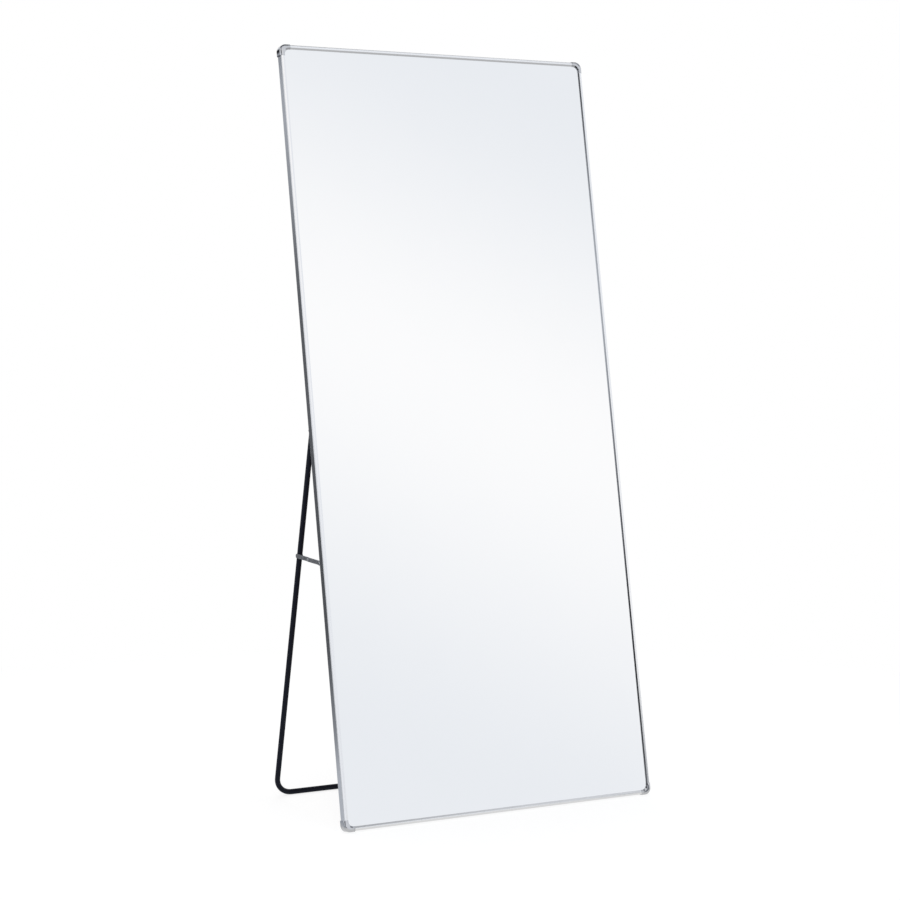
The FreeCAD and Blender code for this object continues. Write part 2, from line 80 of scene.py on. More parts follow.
# %% Sizes of the corner caps
# A cap stands proud of the rails by PROUD outside, PROUD_FRONT in front and PROUD_INNER inside.
ARM = 25.0
CORNER_R = 14.0
INNER_R = 11.7
PROUD = 2.0
PROUD_FRONT = 0.6
PROUD_INNER = 0.4
CAP_R = 3.4
TONGUE = 30.0
TONGUE_GAP = 0.15
TONGUE_TAPER = 1.5
SOLE_GAP = 0.15
TIP = FACE + PROUD_INNER
TURN = TIP + INNER_R

# %% Sizes of the stand, its hinges and its stays
# REACH is how far back the run on the floor is. GAP lies between parts that move past each other.
TUBE_R = 6.35
TUBE_WALL = 1.2
BEND_R = 40.0
LEG_INSET = 14.0
LEG_X = HALF - LEG_INSET
REACH = 414.5
HINGE_Y = 31.0
HINGE_Z = 906.9
PAST_HINGE = 5.5
GAP = 0.2
STAY_REACH = 303.8
LINK_W = 10.0
LINK_T = 1.5
STAY_PLATE = 1.6
STAY_CLEAR = 1.0
STAY_Y = DEPTH + STAY_PLATE + STAY_CLEAR + LINK_W / 2
STAY_Z = HINGE_Z - STAY_REACH
RIVET_R = 2.0
RIVET_HEAD_R = 4.0
RIVET_HEAD = 1.2
PEENED = 0.06

# %% Place in the room
LIFT = DEPTH * np.sin(LEAN) + SOLE_GAP
CAP_EDGE_Y = (CAP_R - PROUD_FRONT) * np.cos(LEAN) + (CAP_R - PROUD) * np.sin(LEAN)
MIDDLE_Y = (CAP_EDGE_Y - CAP_R + REACH + TUBE_R) / 2


def joined(*parts):
    """Numbers or whole arrays of them joined into points, one part for each coordinate."""
    return np.stack(parts, axis=-1)


def chained(*rows):
    """Rows of numbers or of points, one after another."""
    return np.concatenate(rows)


def leaned(y, z):
    """Y and Z in the room, in millimetres: the upright point turned back about X by the lean, then
    lifted by LIFT and slid forwards by MIDDLE_Y, so that zero is under the object's middle."""
    back = y * np.cos(LEAN) + z * np.sin(LEAN)
    return back - MIDDLE_Y, z * np.cos(LEAN) - y * np.sin(LEAN) + LIFT


def stood(points):
    """The same for whole arrays of points, in metres."""
    y, z = leaned(points[..., 1], points[..., 2])
    return joined(points[..., 0], y, z) * MM


hinge_room = np.array(leaned(HINGE_Y, HINGE_Z))
foot_room = np.array([REACH - MIDDLE_Y, TUBE_R])
LEG_LENGTH = np.hypot(*(foot_room - hinge_room))
OPEN = LEAN + np.arctan2(foot_room[0] - hinge_room[0], hinge_room[1] - foot_room[1])
LEG_DIR = np.array([np.sin(OPEN), -np.cos(OPEN)])
HINGE = np.array([HINGE_Y, HINGE_Z])
STAY_RAIL = np.array([STAY_Y, STAY_Z])
STAY_LEG = HINGE + LEG_DIR * STAY_REACH
KNEE = (STAY_RAIL + STAY_LEG) / 2
print("leg %.2f mm long, stand open by %.3f degrees" % (LEG_LENGTH, np.degrees(OPEN)))

# %% [markdown]
# ## Surfaces from arrays
#
# Almost every piece here is one of four forms: a section carried along a line, a profile spun
# round an axis, a flat blank with eased edges, or a bent blank. Each could be modelled by hand or
# with modifiers. Arrays are used instead, because a rounded corner, its highlight and its exact
# size then come from one short formula. A shell is a tuple: its points, its four-sided faces, the
# place of each face corner on the finish (in metres along and across the piece), and its
# many-sided end faces.

# %% A grid of points becomes a skin
def skin(points, across, wrap_u=False, wrap_v=False):
    """Quads between neighbours of a grid of points. across holds the finish's place of each point,
    with one more row or column where the grid wraps, so that the seam isn't torn."""
    nu, nv = points.shape[:2]
    i = np.arange(nu if wrap_u else nu - 1)[:, None]
    j = np.arange(nv if wrap_v else nv - 1)[None, :]
    i1 = (i + 1) % nu
    j1 = (j + 1) % nv
    faces = joined(i * nv + j, i1 * nv + j, i1 * nv + j1, i * nv + j1).reshape(-1, 4)
    corners = [across[i, j], across[i + 1, j], across[i + 1, j + 1], across[i, j + 1]]
    places = np.stack(corners, axis=-2).reshape(-1, 4, 2)
    return points.reshape(-1, 3), faces, places, []


def lengths(points, closed):
    """Distance along a row of points, from zero. A closed row ends with its full length."""
    row = chained(points, points[:1]) if closed else points
    steps = np.linalg.norm(np.diff(row, axis=0), axis=1)
    return chained([0.0], np.cumsum(steps))


def sampled(path, along, at):
    """Points of a flat path at the distances at. along is the distance of each of its points."""
    return joined(*(np.interp(at, along, path[:, k]) for k in (0, 1)))


def finish_grid(u, v):
    """Every pair of a place along and a place across, in metres."""
    return np.stack(np.meshgrid(u * MM, v * MM, indexing="ij"), axis=-1)


def turns(count, more=0):
    """Angles of a full turn in count even steps, from zero. With more=1 the full turn ends it."""
    return np.arange(count + more) * 2 * np.pi / count


def quarter(steps):
    return np.linspace(0, np.pi / 2, steps + 1)


def box(x0, y0, x1, y1):
    return [(x0, y0), (x1, y0), (x1, y1), (x0, y1)]


def arc(radius, start, end, count):
    """Points radius * (cos a, sin a), for even steps of the angle a from start to end."""
    turn = np.linspace(start, end, count)
    return radius * joined(np.cos(turn), np.sin(turn))


# %% Outlines with eased corners
FLAT_SHARE = 0.4
LEAST_HOLD = 0.001


def eased(corners, radii, steps=4, hold=0.25):
    """Closed outline in which each corner is an arc. The arc touches both edges at radius /
    tan(half the corner's angle) from the corner, and its centre is on the bisector at radius /
    sin(half). A point at each side of the arc, hold further on but within FLAT_SHARE of the flat
    that is left, keeps the flat beside it flat when shaded."""
    p = np.asarray(corners, float)
    r = np.broadcast_to(np.asarray(radii, float), len(p))
    back = np.roll(p, 1, axis=0) - p
    ahead = np.roll(p, -1, axis=0) - p
    reach_back = np.linalg.norm(back, axis=1)
    reach_ahead = np.linalg.norm(ahead, axis=1)
    back = back / reach_back[:, None]
    ahead = ahead / reach_ahead[:, None]
    half = np.arccos(np.clip((back * ahead).sum(axis=1), -1, 1)) / 2
    cut = r / np.tan(half)
    bisector = back + ahead
    bisector = bisector / np.linalg.norm(bisector, axis=1)[:, None]
    centre = p + bisector * (r / np.sin(half))[:, None]
    first = (p + back * cut[:, None] - centre)[:, None]
    last = (p + ahead * cut[:, None] - centre)[:, None]
    turn = (np.pi - 2 * half)[:, None, None]
    t = np.linspace(0, 1, steps + 1)[None, :, None]
    arcs = (np.sin((1 - t) * turn) * first + np.sin(t * turn) * last) / np.sin(turn)
    arcs = centre[:, None] + arcs
    room_back = (reach_back - cut - np.roll(cut, 1)) * FLAT_SHARE
    room_ahead = (reach_ahead - cut - np.roll(cut, -1)) * FLAT_SHARE
    before = p + back * (cut + np.clip(room_back, LEAST_HOLD, hold))[:, None]
    after = p + ahead * (cut + np.clip(room_ahead, LEAST_HOLD, hold))[:, None]
    return np.concatenate([before[:, None], arcs, after[:, None]], axis=1).reshape(-1, 2)


def outward(outline):
    """Unit normal at each point of a closed outline: the chord between its neighbours, turned a
    quarter, and pointed away from the inside by the sign of the outline's area."""
    chord = np.roll(outline, -1, axis=0) - np.roll(outline, 1, axis=0)
    chord = chord / np.linalg.norm(chord, axis=1)[:, None]
    following = np.roll(outline, -1, axis=0)
    area = (outline[:, 0] * following[:, 1] - following[:, 0] * outline[:, 1]).sum()
    return joined(chord[:, 1], -chord[:, 0]) * np.sign(area)


# %% Blanks and spun forms
def capped(points, across):
    """A skin closed across, with a many-sided face over its first and its last row of points."""
    count = points.shape[1]
    last = (len(points) - 1) * count
    shell = skin(points, across, wrap_v=True)
    return shell[:3] + ([np.arange(count), np.arange(last, last + count)],)


def laid_flat(rows):
    """Finish of a flat piece: the place of each point is its own (a, b). Each row is closed."""
    return np.concatenate([rows, rows[:, :1]], axis=1)[..., :2] * MM


def rim(thickness, edge, steps=3, hold=0.3):
    """Inset and height of the rings round a blank's edge: a ring in the flat, a quarter round at
    the bottom, the straight edge, a quarter round at the top and a ring in the flat again."""
    turn = quarter(steps)
    inset = chained([edge + hold], edge * (1 - np.sin(turn)))
    rise = chained([0.0], edge * (1 - np.cos(turn)))
    return chained(inset, inset[::-1]), chained(rise, thickness - rise[::-1])


def rim_rings(outline, thickness, edge):
    """Those rings as points (a, b, height), each inset along the outline's normals."""
    inset, height = rim(thickness, edge)
    rings = outline[None] - outward(outline)[None] * inset[:, None, None]
    up = np.broadcast_to(height[:, None, None], rings.shape[:2] + (1,))
    return np.concatenate([rings, up], axis=-1)


def blank(outline, thickness, edge):
    """Flat piece of a closed outline with its edges eased: its rim, and a face at each end."""
    rings = rim_rings(outline, thickness, edge)
    return capped(rings, laid_flat(rings))


def spun(radius, height, count=48, wobble=None, closed=False):
    """Profile of radii and heights turned round the height axis: (r cos a, r sin a, h). A closed
    profile makes a ring, such as a washer. An open one starts and ends near the axis, where a
    small face closes it. wobble changes the grid of (r, h) by angle."""
    angle = turns(count)
    r = np.repeat(np.asarray(radius, float)[:, None], count, axis=1)
    h = np.repeat(np.asarray(height, float)[:, None], count, axis=1)
    if wobble:
        r, h = wobble(r, h, angle[None, :])
    points = joined(r * np.cos(angle), r * np.sin(angle), h)
    along = lengths(joined(radius, height), closed)
    around = turns(count, 1) * np.max(radius)
    across = finish_grid(along, around)
    return skin(points, across, wrap_u=True, wrap_v=True) if closed else capped(points, across)


# %% Moving shells about
def moved(shell, change):
    """The same shell with its points changed by a function of the whole array."""
    return (change(shell[0]),) + shell[1:]


def along_x(shell, inset, y, z):
    """A shell drawn on (a, b, height), laid with its height going in from the frame's left."""
    return moved(shell, lambda p: joined(inset - HALF + p[:, 2], y + p[:, 0], z + p[:, 1]))


def along_y(shell, x, y, z):
    """A shell drawn on (a, b, height), laid with its height going back."""
    return moved(shell, lambda p: joined(x + p[:, 0], y + p[:, 2], z + p[:, 1]))


def mirrored(shell, side):
    """Left pieces are drawn. side is 1 for left and -1 for right."""
    return moved(shell, lambda p: p * np.array([side, 1.0, 1.0]))


SIDES = {"left": 1, "right": -1}

# %% [markdown]
# ## One way to make a piece
#
# A piece is one or more shells in one mesh, in the row frame. Doubled points are merged and the
# faces turned outwards before shading. Smooth shading with a sharp-angle limit is chosen over an
# edge split: the mesh stays closed, and only real corners keep a hard line.

# %% Shells become a piece
SHARP = np.radians(32)
MERGE = 1e-6
NO_LENGTH = 1e-7
made = []


def linked(name, data):
    """A new object in the scene."""
    obj = bpy.data.objects.new(name, data)
    bpy.context.scene.collection.objects.link(obj)
    return obj


def close_ends(mesh, axis):
    """Fills each open end of a swept section, with the hollow in its middle left open."""
    loose = [e for e in mesh.edges if e.is_boundary]
    middles = [(e.verts[0].co + e.verts[1].co)[axis] / 2 for e in loose]
    halfway = (min(middles) + max(middles)) / 2
    for sign in (-1, 1):
        end = [e for e, m in zip(loose, middles) if sign * (m - halfway) > 0]
        bmesh.ops.triangle_fill(mesh, use_beauty=True, edges=end)


def keep_ends_flat(mesh):
    """Marks the edges round every many-sided face as sharp, so that its shading stays flat."""
    flags = np.zeros(len(mesh.edges), bool)
    layer = (mesh.attributes.get("sharp_edge")
             or mesh.attributes.new("sharp_edge", "BOOLEAN", "EDGE"))
    layer.data.foreach_get("value", flags)
    for face in mesh.polygons:
        if face.loop_total > 4:
            flags[[mesh.loops[k].edge_index for k in face.loop_indices]] = True
    layer.data.foreach_set("value", flags)


def piece(name, shells, material, body, nodes, open_axis=None, floor_cut=False):
    """Makes the mesh of a piece, seats it on its body and puts it in place of the CAD nodes. Ends
    that are open along open_axis are filled, and floor_cut flattens what is below the floor."""
    starts = np.cumsum([0] + [len(s[0]) for s in shells])
    points = stood(chained(*(s[0] for s in shells)))
    if floor_cut:
        points[:, 2] = np.maximum(points[:, 2], 0.0)
    quads = chained(*(s[1] + start for s, start in zip(shells, starts)))
    ends = [(end + start).tolist() for s, start in zip(shells, starts) for end in s[3]]
    places = chained(*(s[2].reshape(-1, 2) for s in shells))
    mesh = bpy.data.meshes.new(name)
    mesh.from_pydata(points, [], quads.tolist() + ends)
    layer = mesh.uv_layers.new(name="along")
    rest = np.zeros((len(mesh.loops) - len(places), 2))
    layer.data.foreach_set("uv", chained(places, rest).astype(np.float32).ravel())
    shape = bmesh.new()
    shape.from_mesh(mesh)
    if open_axis is not None:
        close_ends(shape, open_axis)
    bmesh.ops.remove_doubles(shape, verts=shape.verts, dist=MERGE)
    bmesh.ops.dissolve_degenerate(shape, edges=shape.edges, dist=NO_LENGTH)
    bmesh.ops.recalc_face_normals(shape, faces=shape.faces)
    shape.to_mesh(mesh)
    shape.free()
    mesh.shade_smooth()
    mesh.set_sharp_from_angle(angle=SHARP)
    keep_ends_flat(mesh)
    mesh.materials.append(material)
    obj = linked(name, mesh)
    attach(obj, body)
    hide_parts(*nodes)
    made.append(obj)
    print("%-22s %6d points %6d faces" % (name, len(mesh.vertices), len(mesh.polygons)))


def pair(name, shells, material, body, node):
    """A left piece and its mirror image on the right. A body that ends in _ has one for each."""
    for word, side in SIDES.items():
        rides = body + word if body.endswith("_") else body
        piece(name + word, [mirrored(s, side) for s in shells], material, rides,
              [node + word])


# %% [markdown]
# ## Finishes
#
# Real surfaces are never one even colour: drawn metal has lines along its length, a powder coat
# has a fine orange peel, and everything that is handled has faint smudges. Those three effects are
# shader node groups, built once and placed in each material with its own values. The shader itself
# stays in the material, so that its plain values stay plain and survive an export.

# %% A short way to place nodes
def place(tree, kind, ins=(), **settings):
    """Adds a node, sets its own properties, and then its inputs, by number or name, to a value or
    to another node's output."""
    node = tree.nodes.new(kind)
    for key, value in settings.items():
        setattr(node, key, value)
    for key, value in dict(ins).items():
        if isinstance(value, bpy.types.NodeSocket):
            tree.links.new(value, node.inputs[key])
        else:
            node.inputs[key].default_value = value
    return node


def maths(tree, operation, a, b=0.5):
    return place(tree, "ShaderNodeMath", {0: a, 1: b}, operation=operation).outputs[0]


def times(tree, a, b):
    return maths(tree, "MULTIPLY", a, b)


def between(tree, value, low, high, to_low=0.0, to_high=1.0, kind="LINEAR"):
    """Carries a value from low..high to to_low..to_high. Outside that it stays at the end."""
    ins = {0: value, 1: low, 2: high, 3: to_low, 4: to_high}
    return place(tree, "ShaderNodeMapRange", ins, interpolation_type=kind).outputs[0]


def smooth(tree, value, low, high, to_low=0.0, to_high=1.0):
    return between(tree, value, low, high, to_low, to_high, "SMOOTHSTEP")


def blended(tree, share, a, b):
    ins = {0: share, 6: a, 7: b}
    return place(tree, "ShaderNodeMix", ins, data_type="RGBA").outputs[2]


def noise(tree, vector, scale, detail=2.0, rough=0.5):
    ins = {"Vector": vector, "Scale": scale, "Detail": detail, "Roughness": rough}
    return place(tree, "ShaderNodeTexNoise", ins).outputs[0]


def new_group(name, inputs, outputs):
    """An empty shader group with its sockets, and its two inner ends."""
    group = bpy.data.node_groups.new(name, "ShaderNodeTree")
    for label, kind, value in inputs:
        socket = group.interface.new_socket(name=label, in_out="INPUT",
                                            socket_type="NodeSocket" + kind)
        if value is not None:
            socket.default_value = value
    for label, kind in outputs:
        group.interface.new_socket(name=label, in_out="OUTPUT", socket_type="NodeSocket" + kind)
    return group, group.nodes.new("NodeGroupInput"), group.nodes.new("NodeGroupOutput")


# %% Drawn lines
drawn_lines, ins, outs = new_group(
    "drawn lines",
    [("Vector", "Vector", None), ("Across", "Float", 9000.0), ("Along", "Float", 12.0)],
    [("Height", "Float"), ("Tone", "Float")])
parts = place(drawn_lines, "ShaderNodeSeparateXYZ", {0: ins.outputs["Vector"]})
stretched = place(drawn_lines, "ShaderNodeCombineXYZ", {
    0: times(drawn_lines, parts.outputs[0], ins.outputs["Along"]),
    1: times(drawn_lines, parts.outputs[1], ins.outputs["Across"])})
fine = noise(drawn_lines, stretched.outputs[0], 1.0, detail=3.0, rough=0.6)
wide = noise(drawn_lines, stretched.outputs[0], 0.13, detail=1.0)
drawn_lines.links.new(fine, outs.inputs["Height"])
drawn_lines.links.new(between(drawn_lines, wide, 0.3, 0.7), outs.inputs["Tone"])

# %% Orange peel
orange_peel, ins, outs = new_group(
    "orange peel",
    [("Vector", "Vector", None), ("Size", "Float", 700.0)],
    [("Height", "Float"), ("Speck", "Float")])
swell = noise(orange_peel, ins.outputs["Vector"], ins.outputs["Size"], detail=1.0)
finer = times(orange_peel, ins.outputs["Size"], 2.7)
grit = noise(orange_peel, ins.outputs["Vector"], finer, detail=0.0)
together = maths(orange_peel, "ADD", swell, times(orange_peel, grit, 0.35))
orange_peel.links.new(together, outs.inputs["Height"])
orange_peel.links.new(between(orange_peel, grit, 0.62, 0.75), outs.inputs["Speck"])

# %% Smudges from handling
smudges, ins, outs = new_group(
    "smudges",
    [("Vector", "Vector", None), ("Size", "Float", 12.0), ("Amount", "Float", 0.5)],
    [("Mask", "Float")])
cloud = noise(smudges, ins.outputs["Vector"], ins.outputs["Size"], detail=4.0, rough=0.62)
soft = smooth(smudges, cloud, 0.45, 0.75)
smudges.links.new(times(smudges, soft, ins.outputs["Amount"]), outs.inputs["Mask"])


def grouped(tree, group, **ins):
    return place(tree, "ShaderNodeGroup", ins, node_tree=group)


def marked(tree, spot, size, amount):
    return grouped(tree, smudges, Vector=spot, Size=size, Amount=amount).outputs[0]


def peeled(tree, spot, size):
    """Height and specks of the orange peel."""
    node = grouped(tree, orange_peel, Vector=spot, Size=size)
    return node.outputs["Height"], node.outputs["Speck"]


# %% A material's frame
def new_material(name, colour, **plain):
    """A Principled material whose plain values are set on the shader's own sockets. Gives the
    material, its tree and the two kinds of coordinates."""
    material = bpy.data.materials.new(name)
    material.use_nodes = True
    tree = material.node_tree
    for key, value in {"Base Color": (*colour, 1.0), **plain}.items():
        tree.nodes["Principled BSDF"].inputs[key.replace("_", " ")].default_value = value
    material.diffuse_color = (*colour, 1.0)
    spot = place(tree, "ShaderNodeTexCoord")
    return material, tree, spot.outputs["Object"], spot.outputs["UV"]


def drives(tree, value, name):
    tree.links.new(value, tree.nodes["Principled BSDF"].inputs[name])


def colour_varies(tree, mask, a, b):
    drives(tree, blended(tree, mask, (*a, 1.0), (*b, 1.0)), "Base Color")


def rough_varies(tree, mask, low, high):
    drives(tree, between(tree, mask, 0.0, 1.0, low, high), "Roughness")


def raised(tree, height, distance, strength):
    ins = {"Height": height, "Distance": distance, "Strength": strength}
    drives(tree, place(tree, "ShaderNodeBump", ins).outputs[0], "Normal")


# %% Aluminium of the rails
aluminium, tree, spot, along = new_material("satin_aluminium", (0.93, 0.935, 0.94), Metallic=1.0)
lines = grouped(tree, drawn_lines, Vector=along, Across=9000.0, Along=14.0)
marks = marked(tree, spot, 9.0, 0.6)
colour_varies(tree, lines.outputs["Tone"], (0.95, 0.953, 0.957), (0.91, 0.914, 0.92))
worn = maths(tree, "ADD", times(tree, lines.outputs["Tone"], 0.5), marks)
rough_varies(tree, worn, 0.11, 0.18)
raised(tree, lines.outputs["Height"], 0.00003, 0.35)

# %% Chrome of the caps
chrome, tree, spot, _ = new_material("bright_chrome", (0.64, 0.645, 0.66), Metallic=1.0)
marks = marked(tree, spot, 60.0, 0.8)
height, _ = peeled(tree, spot, 260.0)
colour_varies(tree, marks, (0.65, 0.655, 0.67), (0.57, 0.575, 0.59))
rough_varies(tree, marks, 0.05, 0.14)
raised(tree, height, 0.00004, 0.4)

# %% Silvered glass
silver, tree, spot, _ = new_material("silvered_glass", (0.94, 0.955, 0.955), Metallic=1.0,
                                     Roughness=0.0)
marks = marked(tree, spot, 5.0, 0.5)
colour_varies(tree, marks, (0.965, 0.972, 0.97), (0.955, 0.964, 0.962))
raised(tree, noise(tree, spot, 3.0, detail=1.0), 0.0002, 0.5)

# %% Black powder coat
black_coat, tree, spot, _ = new_material("black_powder_coat", (0.008, 0.010, 0.019),
                                         Specular_IOR_Level=0.2)
height, speck = peeled(tree, spot, 650.0)
marks = marked(tree, spot, 22.0, 0.7)
colour_varies(tree, speck, (0.006, 0.0075, 0.015), (0.012, 0.015, 0.027))
rough_varies(tree, marks, 0.38, 0.48)
raised(tree, height, 0.0002, 0.35)

# %% Zinc-plated steel
zinc, tree, spot, along = new_material("zinc_plated_steel", (0.6, 0.61, 0.62), Metallic=1.0)
lines = grouped(tree, drawn_lines, Vector=along, Across=5200.0, Along=60.0)
marks = marked(tree, spot, 160.0, 0.9)
colour_varies(tree, marks, (0.63, 0.64, 0.65), (0.5, 0.51, 0.53))
rough_varies(tree, marks, 0.3, 0.5)
raised(tree, lines.outputs["Height"], 0.00004, 0.5)

# %% Plastics, foam, board and strip
black_plastic, tree, spot, _ = new_material("black_moulded_plastic", (0.02, 0.02, 0.021))
height, speck = peeled(tree, spot, 1400.0)
rough_varies(tree, speck, 0.5, 0.62)
raised(tree, height, 0.00015, 0.4)

nylon, tree, spot, _ = new_material("white_nylon", (0.8, 0.8, 0.77), Subsurface_Weight=0.1)
marks = marked(tree, spot, 300.0, 0.8)
colour_varies(tree, marks, (0.82, 0.82, 0.79), (0.7, 0.7, 0.66))
rough_varies(tree, marks, 0.35, 0.5)

foam, tree, spot, _ = new_material("white_foam", (0.82, 0.82, 0.8))
cells = place(tree, "ShaderNodeTexVoronoi", {"Vector": spot, "Scale": 900.0}).outputs[0]
colour_varies(tree, cells, (0.74, 0.74, 0.72), (0.86, 0.86, 0.84))
rough_varies(tree, cells, 0.85, 0.95)
raised(tree, cells, 0.0003, 0.8)

board, tree, spot, _ = new_material("pressed_fibre_board", (0.3, 0.2, 0.12))
fibres = noise(tree, spot, 520.0, detail=5.0, rough=0.7)
cloud = noise(tree, spot, 7.0, detail=3.0, rough=0.55)
mixed = maths(tree, "ADD", times(tree, fibres, 0.87), times(tree, cloud, 0.13))
tone = between(tree, mixed, 0.36, 0.66)
colour_varies(tree, tone, (0.2, 0.125, 0.07), (0.36, 0.25, 0.15))
rough_varies(tree, fibres, 0.6, 0.8)
raised(tree, fibres, 0.0003, 0.7)

strip, tree, spot, _ = new_material("grey_glazing_strip", (0.2, 0.2, 0.21))
height, speck = peeled(tree, spot, 500.0)
colour_varies(tree, speck, (0.18, 0.18, 0.19), (0.26, 0.26, 0.27))
rough_varies(tree, speck, 0.7, 0.85)
raised(tree, height, 0.0003, 0.6)
print("materials:", len(bpy.data.materials), "groups:", len(bpy.data.node_groups))

# %% [markdown]
# ## Frame rails
#
# A rail is an aluminium extrusion: one section, the same all along. A curve with a bevel would
# carry the section too, but it can't hold a hollow and its edges would need cleaning. Here the
# outline and the hollow are each carried along the rail as a grid, and the two square ends are
# filled between them. The face is crowned a little towards the outside, as drawn faces are, slopes
# in to the glass, and each edge is eased.

# %% The rail's section and its four lengths
STATIONS = 9
face_crown = [(0, 0.62), (1.5, 0.36), (3.0, 0.17), (4.5, 0.05), (FACE_FLAT, 0)]
crown_radii = [EDGE_R, 12, 12, 12, 0.6]
rail_outline = eased(
    face_crown + [(FACE, LIP - LIP_TIP), (FACE, LIP), (WALL, LIP), (WALL, WEB), (WEB_WIDE, WEB),
                  (WEB_WIDE, REAR), (FLANGE, REAR), (FLANGE, DEPTH), (0, DEPTH)],
    crown_radii + [0.12, 0.12, 0.1, 0.1, 0.2, 0.2, 0.3, 0.3, EDGE_R], steps=6)
rail_hollow = eased(box(WALL, CHAMBER, CHAMBER_WIDE, REAR), 0.3)


def carried(section, start, end, put):
    """Section carried straight from start to end: each station is the whole section again. put
    turns (in from the frame's edge, back from its front, along) into an upright point."""
    stations = np.linspace(start, end, STATIONS)
    inner = np.broadcast_to(section[None, :, 0], (len(stations), len(section)))
    back = np.broadcast_to(section[None, :, 1], inner.shape)
    along = np.broadcast_to(stations[:, None], inner.shape)
    grid = finish_grid(stations, lengths(section, closed=True))
    return skin(put(inner, back, along), grid, wrap_v=True)


def upright(inner, back, along):
    return joined(inner - HALF, back, along)


def level(inner, back, along):
    return joined(along, back, inner)


def level_top(inner, back, along):
    return joined(along, back, HEIGHT - inner)


def rail(word, walls, axis):
    piece("frame_rail_" + word, walls, aluminium, "mirror",
          ["rail_" + word], open_axis=axis)


sections = (rail_outline, rail_hollow)
for word, side in SIDES.items():
    rail(word, [mirrored(carried(s, ARM, HEIGHT - ARM, upright), side) for s in sections], 2)
for word, put in (("bottom", level), ("top", level_top)):
    rail(word, [carried(s, ARM - HALF, HALF - ARM, put) for s in sections], 0)

# %% [markdown]
# ## Corner caps
#
# Each cap is a plated casting that turns the frame's corner. Outside it turns tightly, and inside,
# round the glass, more gently. One sweep about a single point can't do both. So each point of the
# section turns about its own point on the corner's diagonal: near the outside for the skin,
# further in for the inner edge, and in between for what lies between. Two tongues that slide into
# the rails, and a flat web behind, complete it.

# %% The cap's section, swept round the corner
cap_outline = eased(
    [(-PROUD, 0.75), (2.6, -0.45), (FACE_FLAT, -PROUD_FRONT),
     (TIP, LIP - LIP_TIP - PROUD_FRONT), (TIP, LIP), (WALL, LIP), (WALL, WEB), (WEB_WIDE, WEB),
     (WEB_WIDE, DEPTH), (-PROUD, DEPTH)],
    [CAP_R, 12.0, 2.0, 0.3, 0.15, 0.1, 0.1, 0.2, 0.05, 0.35], steps=10)
END_EASE = 0.35
TURN_STEPS = 26
TONGUE_EDGE = 0.6


def turning_point(section):
    """How far in the point lies that each point of the section turns about: CORNER_R for the outer
    skin, TURN for the slope and for all that lies under the face, and in proportion between."""
    x, y = section[..., 0], section[..., 1]
    on_face = np.interp(x, [WALL, FACE_FLAT], [CORNER_R, TURN])
    below = np.interp(x, [-PROUD + 0.4, WALL], [CORNER_R, TURN])
    return np.where(y < LIP - 0.1, on_face, below)


def elbow():
    """Each station carries the section along an arm or turns it: a point x in from the edge,
    turning about c, is at c - (c - x) cos and c - (c - x) sin of the station's angle. Within
    END_EASE of an arm's end the section shrinks along its normals by a quarter round."""
    arm = ARM - CORNER_R
    round_off = quarter(4)
    from_end = chained(END_EASE * (1 - np.cos(round_off)), [arm * 0.5])
    shrink = chained(END_EASE * (1 - np.sin(round_off)), [0.0])
    turn = quarter(TURN_STEPS)
    ends = np.zeros_like(from_end)
    angle = chained(ends, turn, ends + np.pi / 2)
    inset = chained(shrink, np.zeros_like(turn), shrink[::-1])
    reach = chained(ARM - from_end, np.zeros_like(turn), (ARM - from_end)[::-1])
    section = cap_outline[None] - outward(cap_outline)[None] * inset[:, None, None]
    centre = np.broadcast_to(turning_point(cap_outline), section.shape[:2])
    radius = centre - section[..., 0]
    x = centre - radius * np.cos(angle)[:, None]
    z = centre - radius * np.sin(angle)[:, None]
    on_arm = (reach > 0)[:, None]
    up = (angle < 1)[:, None]
    along = np.maximum(reach[:, None], centre + 0.02)
    x = np.where(on_arm, np.where(up, section[..., 0], along), x)
    z = np.where(on_arm, np.where(up, along, section[..., 0]), z)
    points = joined(x, section[..., 1], z)
    whole = 2 * arm + CORNER_R * np.pi / 2
    path = chained(from_end, arm + turn * CORNER_R, whole - from_end[::-1])
    return capped(points, finish_grid(path, lengths(cap_outline, closed=True)))


def tongue(swap):
    """Bar that slides into a rail: a rounded oblong carried up the arm, drawn in at its tip."""
    low, high = WALL + TONGUE_GAP, CHAMBER_WIDE - TONGUE_GAP
    front, rear = CHAMBER + TONGUE_GAP, REAR - TONGUE_GAP
    section = eased(box(low, front, high, rear), TONGUE_EDGE)
    stations = np.array([CORNER_R, ARM + TONGUE - TONGUE_TAPER, ARM + TONGUE])
    shrink = np.array([0.0, 0.0, TONGUE_TAPER])
    middle = section.mean(axis=0)
    size = (section.max(axis=0) - section.min(axis=0)) / 2
    rings = middle + (section - middle)[None] * (1 - shrink[:, None, None] / size)
    up = np.broadcast_to(stations[:, None], rings.shape[:2])
    order = [up, rings[..., 1], rings[..., 0]] if swap else [rings[..., 0], rings[..., 1], up]
    grid = finish_grid(stations, lengths(section, closed=True))
    return capped(joined(*order), grid)


def cap_web():
    """Flat web that fills the back of the cap: a square less the quarter disc that the swept
    section already covers."""
    inside = TURN - arc(TURN - WEB_WIDE, 0, np.pi / 2, 13)
    outline = chained(inside, [[ARM, WEB_WIDE], [ARM, ARM], [WEB_WIDE, ARM]])
    rings = np.broadcast_to(outline[None], (2,) + outline.shape)
    back = np.broadcast_to(np.array([REAR, DEPTH])[:, None], rings.shape[:2])
    points = joined(rings[..., 0], back, rings[..., 1])
    return capped(points, laid_flat(rings))


